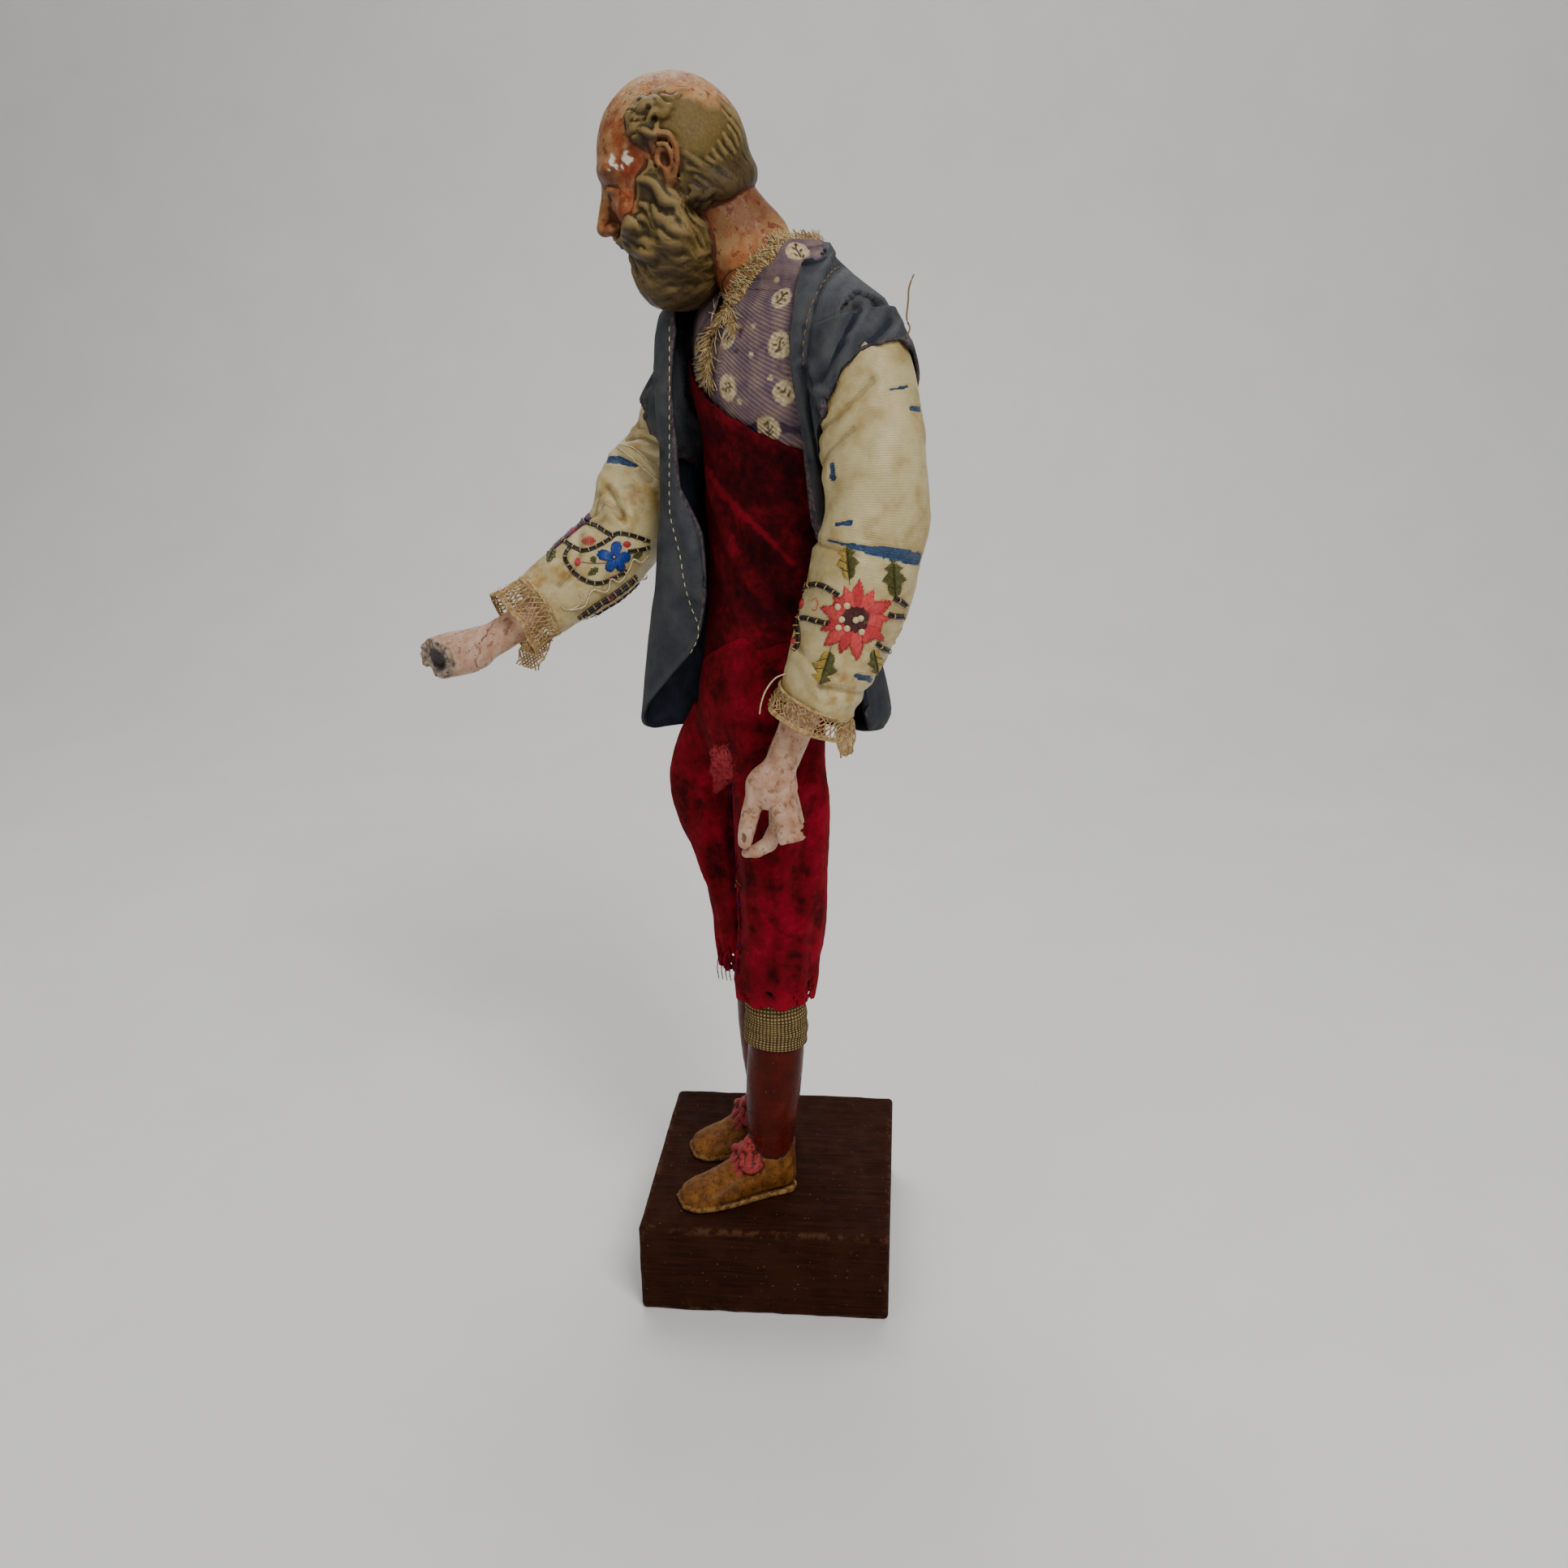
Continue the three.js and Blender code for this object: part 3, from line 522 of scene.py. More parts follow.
def ears(p):
    return shaped(mirrored(p), *EARS)


EARS = [
    (0, (-0.4, 18.4, -1.4), (3.5, 1.7, 5.6)), (1.2, (0.9, 18.2, -7), (1.8, 1.4, 2.6)),  # shell and lobe
    # Rim and inner fold
    (0.4, [(2.9, 18, 0.6), (2.2, 19.6, 3.6), (-0.2, 20.6, 5), (-3, 20.8, 3.6), (-4, 20.6, 0), (-2.8, 20, -4),
           (0, 19, -7.6)], [0.6, 0.9, 1.05, 1.1, 0.95, 0.8, 0.8]),
    (0.3, [(0.9, 19.8, 2.6), (-1.4, 20.4, 1.4), (-2, 20.4, -1.2), (-0.8, 20, -4.2)], [0.4, 0.65, 0.7, 0.6]),
    (0.5, [(2.8, 18.8, -1), (2.6, 19.6, -3)], [0.8, 0.9]),
    # Hollows
    (-0.4, (0.6, 20.6, -2.2), (1.5, 2.4, 2.5)),
    (-0.4, [(0.8, 20.6, 3.4), (-2.6, 21.4, 2.4), (-3, 21.2, -1.4)], [0.35, 0.4, 0.3]),
]


def neck(p):
    """The neck runs from the skull down to the breast plate under the shirt."""
    rings = [(0.5, 4.5, 288), (0.6, 4, 304), (0.8, -1, 316), (1, -8.5, 327), (1.5, -14, 336), (2, -21, 345)]
    d = strand(p, to_head(rings), [11.5, 14.4, 13.6, 12.1, 11, 10.5])
    d = blend(d, strand(p, to_head([(1, -8, 334), (0.8, 4.6, 319), (0, 8, 304)]), [5.5, 8.6, 9]), 7)
    world = from_head(p)
    front, left = chest_places(world)
    z = world[..., 2]
    plate = column(world, TRUNK, TORSO_TURN, -2.6)
    plate = np.max(np.stack([plate, np.abs(left + 2) - 15, 266 - z, 6 - front, z - 306]), axis=0)
    return blend(d, plate, 4)


HAIR_SWEEP = (-2.6, 0, 0.6), (20.8, 19.4, 20.6)


def hair_form(p):
    sweep = ellipsoid(p, *HAIR_SWEEP)
    top = p[..., 2] - 17 - 0.33 * (p[..., 0] + 2)
    hair = np.maximum(np.maximum(sweep, top), p[..., 0] - 6 - 0.12 * (p[..., 2] - 4))
    hair = np.maximum(hair, np.where(p[..., 0] > -1.5, 1.2 - ears(p), -9))
    roll = [(-4, 14, -12), (-13, 11, -14), (-18.5, 4, -12.6), (-19, 0, -12.6)]
    roll = strand(mirrored(p), roll, [2.2, 3.4, 3.4, 3.4])
    hair = blend(hair, ellipsoid(mirrored(p), (1.5, 16.6, 9), (7, 4, 6.5)) + 1.1 * noise(p, 4, 2), 3)
    return blend(hair, roll, 6) - 0.5 * noise(p, 8, 3)


def beard_form(p):
    s = mirrored(p)
    d = shaped(
        s, (0, (10.5, 0, -28), (12, 11.6, 13.4)), (6, (5.3, 7.6, -20), (9, 7.4, 10.6)),
        (4, [(3.5, 16, -7), (5, 13.2, -20)], [2.2, 4.2]), (2, (5.5, 14.6, -14.5), (4.4, 3, 3)),
    )
    cheek = (s[..., 2] + 2.9 + 0.93 * (s[..., 0] - 7.5)) / 1.37 + 0.9 * noise(p, 4.2, 4)
    before_ear = 3 - s[..., 0] + 2.2 * noise(p, 4.5, 9)
    lips = -ellipsoid(s, (22, 0, -20.5), (5, 4.5, 2.5))
    cheek = np.max(np.stack([skull(p) - 1.2, cheek, before_ear, lips]), axis=0)
    d = blend(d, cheek, 1.5)
    return shaped(s, (1.5, [(23.2, 1.6, -16), (14, 11, -22)], [1.7, 3]), d=d) - 1.3 * noise(p, 8.5, 6)


def grooves(p, size, way, seed, deep):
    """Winding grooves that run along a way."""
    way = unit(np.array(way, float))
    return deep * bump(noise(p - 0.62 * (p @ way)[..., None] * way, size, seed), 0.12)


def hair_flow(p):
    """Hair sweeps back from the temples, down behind the ears and round into the roll at the nape."""
    behind = ramp(p[:, 0], -1, -8) * ramp(p[:, 2], 14, 4)
    return np.stack([-1 + 0.5 * behind, 0 * behind, -0.18 - 0.55 * behind], -1)


def beard_flow(p):
    """The beard falls from the cheeks and the lip, back and down."""
    lip = ramp(p[:, 0], 17, 22) * ramp(p[:, 2], -20, -16)
    back = -0.75 - 0.5 * ramp(p[:, 2], -22, -34)
    return np.stack([back, (0.1 + 0.9 * lip) * np.sign(p[:, 1]), -1 + 0.5 * lip], -1)


def worn_patch(p):
    """The hair behind and above the left ear is worn smooth."""
    return ramp(ellipsoid(p, (-11, 17, 6.5), (9.5, 12, 10.5)), 1.5, -1.5)


def hair_and_beard():
    scalp = scattered(hair_form, (-2.6, 0, 0), 520)
    x, y, z = scalp.T
    hairy = ((ellipsoid(scalp, *HAIR_SWEEP) > -1.6) | (z < -9)) & (x < 5.5) & (np.abs(y) < 21)
    scalp = scalp[hairy & (ears(scalp) > 1.5) & (worn_patch(scalp) < 0.5)]
    front = scalp[:, 0] > -4
    made = locks(hair_form, hair_flow, scalp[front], 8, 1.1, 1.0, 2.8, 1, 10, 3, 0.5)
    made += locks(hair_form, hair_flow, scalp[~front], 17, 0.25, 0.15, 2.8, 2, 12, 3, 0.06)
    chin = scattered(beard_form, (9, 0, -24), 400)
    chin = chin[(skull(chin) > -1.2) & (neck(chin) > -1.5) & (np.abs(chin[:, 1]) < 19) & (chin[:, 2] < 0)]
    made += locks(beard_form, beard_flow, chin, 14, 0.65, 0.7, 3.7, 3, 14, 4, 0.3)
    brow = [(20.6, 3, 2.8), (20.8, 6.6, 4), (18.6, 10.4, 3.8), (16, 13, 2.2)]
    for side, lift in itertools.product((-1, 1), (-0.5, 0.3)):
        made.append((np.array(brow) * (1, side, 1) + (0.2, 0, lift), np.array([0.5, 0.7, 0.6, 0.3])))
    return made


def head_form(p):
    d = blend(skull(p), neck(p), 3)
    swirls = ramp(p[..., 0], -8, -2) * ramp(p[..., 2], -1, 4)
    hair = hair_form(p) + swirls * grooves(p, 2.9, (-1, 0, -0.5), 4, 0.9)
    full = ramp(p[..., 2], -10, -18)
    beard = beard_form(p) + full * grooves(p, 4.4, (-0.7, 0, -0.7), 5, 1.0)
    d = blend(d, np.minimum(hair, beard), 0.6)
    return blend(d, ears(p), 0.6)


def make_head():
    skin = skin_of(head_form, (-26, -23, -66), (31, 23, 26), HEAD_STEP, hair_and_beard(), 0.5)
    own = skin.points
    bare = blend(skull(own), neck(own), 3)
    hair = ramp(bare, 0.15, 0.7) * (1 - 0.6 * ramp(ears(own), 0.5, 0.1))
    eye = ramp(ellipsoid(mirrored(own), *EYE), 0.25, 0.05) * (own[:, 0] > 17)
    skin.points = from_head(own)
    skin.mark_hollows(5)
    skin.pushed(0.12 * rough(own, 5, 3) * (1 - hair) - 0.2 * ramp(noise(own, 3, 9), 0.72, 0.9) * (1 - hair))
    # under marks where the skin faces down, and the nape below the hair, which the paint darkens as painted
    # shade.
    under = ramp(skin.blurred(skin.normals(), 6)[:, 2], 0.1, -0.6)
    nape = ramp(own[:, 2], -5, -12) * ramp(own[:, 2], -34, -24) * ramp(own[:, 0], 0, -6)
    under = np.maximum(under, 0.9 * nape)
    skin.marks.update(
        hair=hair, eye=eye, patch=worn_patch(own), flush=head_flush(own), chip=head_chips(own), under=under,
    )
    return skin


def head_flush(p):
    """Where the paint is warmer: cheeks, temples, nose, ears and the sides of the neck."""
    s = mirrored(p)
    spots = [((15, 12, -8), 8), ((11, 15.5, 3), 6), ((26, 0, -10), 4), ((0, 20, -2), 7), ((12, 12, 13), 4)]
    flush = sum(bump(np.linalg.norm(s - at, axis=1), size) for at, size in spots)
    return np.clip(flush + 0.7 * ramp(p[:, 2], -26, -40) * (p[:, 0] < 8), 0, 1)


def head_chips(p):
    """Chips down to the white ground, beside the left brow."""
    spots = [((15.6, 13, 3.4), 1.3), ((11.4, 15.8, 2.2), 1.5), ((13.4, 14.6, 1), 0.5)]
    d = np.min([np.linalg.norm(p - at, axis=1) - size for at, size in spots], axis=0)
    return ramp(d + 1.5 * noise(p, 1.3, 5), 0.2, -0.1)


# Materials

def rgb(red, green, blue):
    """A screen colour of 0 to 255 as Blender's linear colour."""
    c = np.array([red, green, blue]) / 255
    return (*np.where(c < 0.04045, c / 12.92, ((c + 0.055) / 1.055) ** 2.4), 1.0)


class Paint:
    """A material that is built up from nodes. Fixed values go to the shader's own sockets."""

    def __init__(self, name, **fixed):
        self.material = bpy.data.materials.new(name)
        self.material.use_nodes = True
        self.tree = self.material.node_tree
        self.shader = self.tree.nodes["Principled BSDF"]
        for socket, value in fixed.items():
            self.shader.inputs[socket.replace("_", " ")].default_value = value
        self.place = self.tree.nodes.new("ShaderNodeTexCoord").outputs["Object"]
        self.cloth = self.tree.nodes.new("ShaderNodeUVMap").outputs["UV"]

    def feed(self, socket, value):
        if isinstance(value, bpy.types.NodeSocket):
            self.tree.links.new(value, socket)
        else:
            socket.default_value = value

    def node(self, kind, inputs, out=0, **settings):
        node = self.tree.nodes.new("ShaderNode" + kind)
        for key, value in settings.items():
            setattr(node, key, value)
        for key, value in inputs.items():
            self.feed(node.inputs[key], value)
        return node.outputs[out]

    def noise(self, size, detail=3, stretch=(1, 1, 1)):
        """Noise from 0 to 1 with spots of about that many millimetres."""
        at = self.node("Mapping", {"Vector": self.place, "Scale": stretch})
        return self.node("TexNoise", {"Vector": at, "Scale": 1000 / size, "Detail": detail, "Roughness": 0.6})

    def waves(self, size, way, warp, turn=0.0):
        """Threads of that many millimetres across the cloth, from 0 to 1."""
        at = self.node("Mapping", {"Vector": self.cloth, "Rotation": (0, 0, turn)})
        inputs = {"Vector": at, "Scale": 0.314 / size, "Distortion": warp, "Detail": 1.0}
        return self.node("TexWave", inputs, out=1, bands_direction=way)

    def mark(self, name):
        return self.node("Attribute", {}, out=2, attribute_name=name)

    def span(self, value, low, high, start=0.0, end=1.0):
        inputs = {0: value, 1: low, 2: high, 3: start, 4: end}
        return self.node("MapRange", inputs, interpolation_type="SMOOTHSTEP")

    def math(self, what, a, b):
        return self.node("Math", {0: a, 1: b}, operation=what)

    def times(self, a, b):
        return self.math("MULTIPLY", a, b)

    def mix(self, share, base, colour):
        colour = rgb(*colour) if isinstance(colour, tuple) else colour
        return self.node("Mix", {0: share, 6: base, 7: colour}, out=2, data_type="RGBA")

    def spots(self, base, size, detail, low, high, most, colour):
        """The base, with at most that share of a colour where the noise rises from low to high."""
        return self.mix(self.span(self.noise(size, detail), low, high, 0, most), base, colour)

    def tint(self, base, mark, low, high, most, colour):
        """The base, with at most that share of a colour where a mark goes from low to high."""
        return self.mix(self.span(self.mark(mark), low, high, 0, most), base, colour)

    def colours(self, value, *stops, steps="LINEAR"):
        """Colours for a value, from stops of (value, red, green, blue)."""
        node = self.tree.nodes.new("ShaderNodeValToRGB")
        node.color_ramp.interpolation = steps
        self.feed(node.inputs[0], value)
        while len(node.color_ramp.elements) < len(stops):
            node.color_ramp.elements.new(0.5)
        for element, (at, *colour) in zip(node.color_ramp.elements, stops):
            element.position = at
            element.color = rgb(*colour)
        return node.outputs[0]

    def mottled(self, size, detail, *stops):
        return self.colours(self.noise(size, detail), *stops)

    def sewn(self, base):
        """The colour of the cloth, or of the threads on it."""
        dye = self.mark("dye")
        stops = [(k / len(DYES), *colour) for k, colour in enumerate(DYES)]
        thread = self.colours(dye, *stops, steps="CONSTANT")
        thread = self.spots(thread, 0.8, 3, 0.45, 0.65, 0.35, (40, 28, 18))
        return self.mix(self.span(dye, 0.001, 0.01), base, thread)

    def bump(self, height, deep, under=None):
        """Relief of that many millimetres."""
        inputs = {"Height": height, "Distance": deep / 1000}
        if under:
            inputs["Normal"] = under
        return self.node("Bump", inputs)

    def finish(self, colour, rough, normal):
        for key, value in (("Base Color", colour), ("Roughness", rough), ("Normal", normal)):
            self.feed(self.shader.inputs[key], value)
        return self.material


def terracotta():
    """Oil paint on terracotta: skin with worn, reddened and chipped patches, and olive-brown hair."""
    p = Paint("painted_terracotta", Specular_IOR_Level=0.18)
    fine, wide = p.noise(0.9, 4), p.noise(7, 4)
    skin = p.colours(wide, (0.32, 182, 140, 88), (0.5, 172, 118, 70), (0.66, 146, 88, 50))
    skin = p.spots(skin, 4.5, 5, 0.5, 0.56, 0.85, (176, 142, 96))
    flush = p.times(p.mark("flush"), p.span(p.noise(6, 4), 0.3, 0.55))
    skin = p.mix(flush, skin, p.mottled(3, 4, (0.4, 168, 84, 48), (0.6, 132, 54, 30)))
    skin = p.spots(skin, 2.6, 5, 0.57, 0.62, 1, (132, 74, 44))
    skin = p.spots(skin, 0.9, 3, 0.64, 0.7, 1, (78, 48, 32))
    # Grime and painted shade in the skin's hollows.
    skin = p.tint(skin, "hollow", 0.2, 1.0, 1, (90, 46, 26))
    # Painted shade on the skin's undersides and at the nape.
    skin = p.mix(p.times(p.mark("under"), 0.75), skin, (82, 36, 20))
    hair = p.colours(wide, (0.3, 72, 58, 30), (0.5, 98, 80, 42), (0.68, 126, 104, 60))
    # The hair's ridges are paler, with worn paint and painted highlight; its grooves are darker, with grime
    # and painted shade.
    hair = p.tint(hair, "hollow", 0, -1, 0.6, (156, 130, 84))
    hair = p.tint(hair, "hollow", 0.1, 1.0, 0.75, (38, 26, 12))
    # Painted shade on the undersides of the hair and beard.
    hair = p.mix(p.times(p.mark("under"), 0.8), hair, (48, 34, 20))
    worn = p.colours(fine, (0.3, 98, 80, 38), (0.7, 124, 100, 54))
    hair = p.mix(p.times(p.mark("patch"), 0.8), hair, worn)
    colour = p.mix(p.mark("hair"), skin, hair)
    colour = p.spots(colour, 11, 3, 0.62, 0.72, 0.35, (130, 98, 62))
    colour = p.mix(p.mark("eye"), colour, (104, 70, 48))
    colour = p.mix(p.mark("chip"), colour, (226, 214, 198))
    dull = p.span(p.noise(3, 3), 0.35, 0.65, 0.3, 0.5)
    relief = p.bump(p.noise(0.35, 3), 0.12, p.bump(p.noise(2.2, 4), 0.35))
    return p.finish(colour, dull, relief)


# Pieces

def dress(name, skin, material, slot, *nodes):
    """Makes the object of a skin. It rides on the body, takes the material and stands for the nodes. slot is
    not used.
    """
    mesh = bpy.data.meshes.new(name)
    loops = np.concatenate([skin.faces.ravel(), *skin.caps]).astype(int)
    sizes = np.r_[np.full(len(skin.faces), 4), [len(c) for c in skin.caps]].astype(int)
    mesh.vertices.add(len(skin.points))
    mesh.vertices.foreach_set("co", to_frame(skin.points).ravel())
    mesh.loops.add(len(loops))
    mesh.loops.foreach_set("vertex_index", loops)
    mesh.polygons.add(len(sizes))
    mesh.polygons.foreach_set("loop_start", np.r_[0, np.cumsum(sizes)[:-1]].astype(int))
    mesh.polygons.foreach_set("use_smooth", np.ones(len(sizes), bool))
    mesh.update(calc_edges=True)
    cloth = mesh.uv_layers.new(name="cloth")
    places = np.zeros((len(loops), 2))
    places[:skin.faces.size] = skin.cloth.reshape(-1, 2)
    cloth.data.foreach_set("uv", places.ravel())
    for mark, values in skin.marks.items():
        mesh.attributes.new(mark, "FLOAT", "POINT").data.foreach_set("value", values.astype(np.float32))
    mesh.materials.append(material)
    piece = bpy.data.objects.new(name, mesh)
    bpy.context.scene.collection.objects.link(piece)
    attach(piece, "root")
    if nodes:
        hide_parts(*nodes)
    return piece


# Forms that the clothes share

TORSO_TURN = 40
HIP_TURN = 34
CHEST_MIDDLE = 0, 4.5, 0


def chest_way(front, left, up):
    s, c = np.sin(np.radians(TORSO_TURN)), np.cos(np.radians(TORSO_TURN))
    return np.stack(np.broadcast_arrays(front * s + left * c, left * s - front * c, up), -1)


def by_chest(front, left, z):
    return chest_way(front, left, z) + CHEST_MIDDLE


def beyond(p, plane):
    at, way = plane
    return (p - at) @ unit(way)


def beside(p, rings, heading, grow):
    """Distance to the sides of an upright form through rings of (x, y, z, half width, half depth)."""
    rings = np.asarray(rings, float)
    at = through(rings, np.interp(p[..., 2], rings[:, 2], np.linspace(0, 1, len(rings))))
    s, c = np.sin(np.radians(heading)), np.cos(np.radians(heading))
    x, y = p[..., 0] - at[..., 0], p[..., 1] - at[..., 1]
    half, deep = at[..., 3] + grow, at[..., 4] + grow
    return (np.hypot((c * x + s * y) / half, (c * y - s * x) / deep) - 1) * np.minimum(half, deep)


def column(p, rings, heading=0.0, grow=0.0):
    ends = np.maximum(rings[0][2] - grow - p[..., 2], p[..., 2] - rings[-1][2] - grow)
    return np.maximum(beside(p, rings, heading, grow), ends)


TRUNK = [
    (0, -0.5, 172, 28, 21.6), (0, 0.5, 198, 26.2, 20), (0, 1.5, 215, 25.4, 19.4), (0, 3, 240, 27, 20.4),
    (0, 4, 264, 29.6, 21.6), (1.4, 2.8, 284, 34.6, 23), (1.8, 2.6, 299, 37.6, 20), (1, 4, 309, 33, 16),
    (0, 5.2, 317, 20, 13), (-0.5, 5.6, 326, 12.6, 10.6),
]
WAIST = by_chest(0, 0, 196), chest_way(0, 0.5, -1)
NECKLINE = by_chest(16, 0, 277), chest_way(0, 0.46, 1)
NECK_HOLE = by_chest(15, 0, 318.5), chest_way(0.9, 0, 1)
SHIRT_RINGS = TRUNK[:7] + [
    (1, 4, 309, 33, 16.4), (0.6, 4.4, 314, 29.5, 16), (0.4, 3.6, 320, 20.4, 15.6), (0.4, 2, 326, 16, 14.6),
    (0.4, 0.4, 332, 14.6, 14),
]


def between(dense, low, high, rows):
    """Rows of points in each column of a dense loft, from one share of its height to another."""
    at = (low + (high - low) * np.linspace(0, 1, rows)[:, None]) * (len(dense) - 1)
    i = np.clip(at.astype(int), 0, len(dense) - 2)
    column = np.arange(dense.shape[1])
    f = (at - i)[..., None]
    return dense[i, column] * (1 - f) + dense[i + 1, column] * f


def crossing(outside):
    """The share of the way up each column where a value changes sign."""
    side = outside > 0
    row = np.argmax(side != side[0], axis=0)
    a, b = (np.take_along_axis(outside, r[None], 0)[0] for r in (row - 1, row))
    return (row - 1 + a / (a - b)) / (len(side) - 1)


def hemmed(points, thick):
    """A cloth tube whose first and last rows are turned in."""
    turn = 3
    skin = grid(points, wrap=True)
    inner = points - skin.normals().reshape(points.shape) * thick
    rows = np.concatenate([inner[:turn + 1][::-1], points, inner[-turn - 1:][::-1]])
    skin = grid(rows, wrap=True)
    lining = np.zeros(rows.shape[:2])
    lining[:turn + 1] = lining[-turn - 1:] = 1
    skin.marks["lining"] = lining.ravel()
    return skin


def crease_depths(points, normals, creases):
    """Depth of creases along lines of pixels of the photograph, given as (depth, half width, pixels)."""
    at = camera_pixels(points)
    flat = at.reshape(-1, 2)
    depth = 0
    for deep, wide, pixels in creases:
        line = curve(pixels, 16)
        away = strand(flat, line, np.zeros(16)).reshape(at.shape[:-1])
        depth = depth + deep * (bump(away, wide) - 0.4 * bump(away - 2.2 * wide, wide))
    return depth * faces_camera(points, normals)


# Waistcoat and shirt

def chest_places(p):
    """How far each point is to the chest's front and left."""
    flat = p - CHEST_MIDDLE
    return flat @ chest_way(1, 0, 0), flat @ chest_way(0, 1, 0)


def make_waistcoat():
    dense = loft(TRUNK, np.linspace(0, 1, 260), 240, TORSO_TURN)
    low = crossing(beyond(dense, WAIST)) - 0.004
    high = crossing(beyond(dense, NECKLINE))
    frayed = noise(between(dense, high, high, 2)[0], 2.2, 4)
    points = between(dense, low, high + 0.0035 * frayed, 104)
    front, left = chest_places(points)
    z = points[..., 2]
    # Long folds run from the right breast down to the left side of the waist.
    slant = left * 0.78 + (z - 235) * 0.62
    fold = 1.0 * bump(slant - 1.5, 2.6) - 0.9 * bump(slant - 6.5, 3.2) + 0.7 * bump(slant + 9, 4)
    fold = fold * ramp(z, 276, 250) * (front > 0) + 0.45 * rough(points * (1, 1, 0.45), 14, 3)
    out = unit((points - (0, 4, 0)) * (1, 1, 0))
    skin = hemmed(points + out * fold[..., None], 0.9).mark_hollows(10)
    # A bright streak along a fold of the waistcoat: worn pile and painted highlight.
    worn = [(872, 578), (890, 607), (914, 633), (937, 654), (978, 695)]
    away = strand(camera_pixels(skin.points), worn, [2, 3, 3, 3, 1.5]) + 3 * noise(skin.points, 1.5, 6)
    worn = ramp(away, 3, -2) * faces_camera(skin.points, skin.normals())
    # deep darkens the whole waistcoat with painted shade; hem carries the bright streak.
    skin.marks.update(deep=np.ones(len(skin.points)), hem=worn)
    return skin


def make_shirt():
    dense = loft(SHIRT_RINGS, np.linspace(0, 1, 380), 370, TORSO_TURN, -0.9)
    low = crossing(beyond(dense, NECKLINE)) - 0.02
    front, left = chest_places(dense)
    slit = np.where(front > 0, (dense[..., 2] - 290) * 0.24 - np.abs(left + 5.5), -9)
    opening = np.maximum(np.maximum(beyond(dense, NECK_HOLE), dense[..., 2] - 326), slit)
    high = crossing(opening)
    frayed = rough(between(dense, high, high, 2)[0], 2.4, 8)
    points = between(dense, low, high - 0.003 * (1 + frayed), 124)
    front, left = chest_places(points)
    z = points[..., 2]
    slant = left * 0.5 + (z - 280) * 0.86
    fold = 0.5 * np.sin(slant / 4.2 + 0.8 * noise(points, 16, 2)) * ramp(z, 268, 276)
    fold = fold + 0.4 * rough(points, 9, 6)
    fold = fold - 1.3 * bump(z - 266 - 0.3 * left, 3.4) * bump(left - 15, 10) * (front > 0)
    points = points + unit(points * (1, 1, 0)) * (fold - 0.35)[..., None]
    skin = hemmed(points, 0.6).mark_hollows(10)
    skin.rows = points
    return skin


# Breeches

NEAR_LEG = [
    (17, 2.6, 77, 12.6, 13.4), (17, 3, 86, 13.6, 14.4), (17, 4.6, 106, 13.8, 15.2),
    (17.4, 4.8, 145, 14.4, 15.8), (15, 3, 175, 13.4, 15.4),
]
FAR_LEG = [
    (-14, -10, 74.5, 10.6, 11.4), (-14, -10.5, 85, 11.6, 12.6), (-14, -11.5, 104, 12.4, 13.6),
    (-14.5, -16.5, 130, 14.6, 17.4), (-14, -17.5, 152, 15.4, 19.2), (-10, -11, 176, 13.4, 16.8),
]
SEAT = [
    (1, -2, 152, 14, 10), (1, -2.5, 162, 24, 17.5), (1, -2.5, 178, 26.5, 20), (0.5, -1, 194, 25.4, 19.6),
    (0, 1, 222, 24, 18),
]


def sagging(p, middle, phase, deepest):
    """Long folds round a leg of the breeches, in units outwards."""
    t = np.clip((p[..., 2] - 76) / 98, 0.05, 0.95)
    a = np.arctan2(p[..., 1] - middle[1], p[..., 0] - middle[0])
    waves = 0.6 * np.sin(3 * a + 4 * t + phase) + 0.4 * np.sin(5 * a - 7 * t + phase)
    small = 0.35 * np.sin(9 * a + 5 * t + 2 * noise(p, 20, 3)) * ramp(t, 0.7, 0.3)
    return deepest * np.sin(np.pi * t) * waves + small


def breeches_form(p):
    fray = np.where(p[..., 0] < 0, 0.9, 0.3) * rough(p * (1, 1, 0.1), 3.6, 5) * ramp(p[..., 2], 88, 79)
    ragged = p + (0, 0, 1) * fray[..., None]
    near = column(ragged, NEAR_LEG) - sagging(p, (17, 4), 0.4, 1.1)
    far = column(ragged, FAR_LEG) - sagging(p, (-14, -14), 2.1, 1.2)
    hollow = np.minimum(beside(p, NEAR_LEG, 0, -1.3), beside(p, FAR_LEG, 0, -1.3))
    d = blend(blend(near, far, 1.2), column(p, SEAT, HIP_TURN), 4)
    d = d - 0.5 * rough(p * (1, 1, 0.6), 13, 7) - 0.12 * noise(p, 2.2, 5)
    d = carve(d, np.maximum(hollow, p[..., 2] - 86), 0.5)
    return np.maximum(d, beyond(p, (WAIST[0] + (0, 0, 6), -WAIST[1])))


def make_breeches():
    skin = skin_of(breeches_form, (-34, -42, 70), (36, 30, 216), 1.0)
    normals = skin.normals()
    at = camera_pixels(skin.points)
    flap = strand(at, [(888, 930), (890, 955), (884, 972)], [13, 13, 5]) + 2 * noise(skin.points, 2, 3)
    flap = ramp(flap, 1.5, -1.5) * faces_camera(skin.points, normals)
    skin.pushed(0.7 * flap - crease_depths(skin.points, normals, BREECHES_CREASES))
    skin.mark_hollows(12)
    # hem brightens the velvet near the hems: worn pile and painted sheen.
    skin.marks.update(hem=ramp(skin.points[:, 2] + noise(skin.points, 3, 2), 84, 78), flap=flap)
    return skin


BREECHES_CREASES = [
    (0.9, 5, [(905, 985), (898, 1020), (906, 1062), (908, 1101), (911, 1153), (908, 1195)]),
    (1.1, 8, [(1004, 985), (990, 1050), (985, 1120)]),
    (0.9, 8, [(945, 1010), (950, 1080), (958, 1160)]),
    (0.8, 7, [(860, 990), (850, 1060), (845, 1130)]),
    (0.7, 6, [(930, 1120), (965, 1150), (1000, 1160)]),
]


# Sleeves

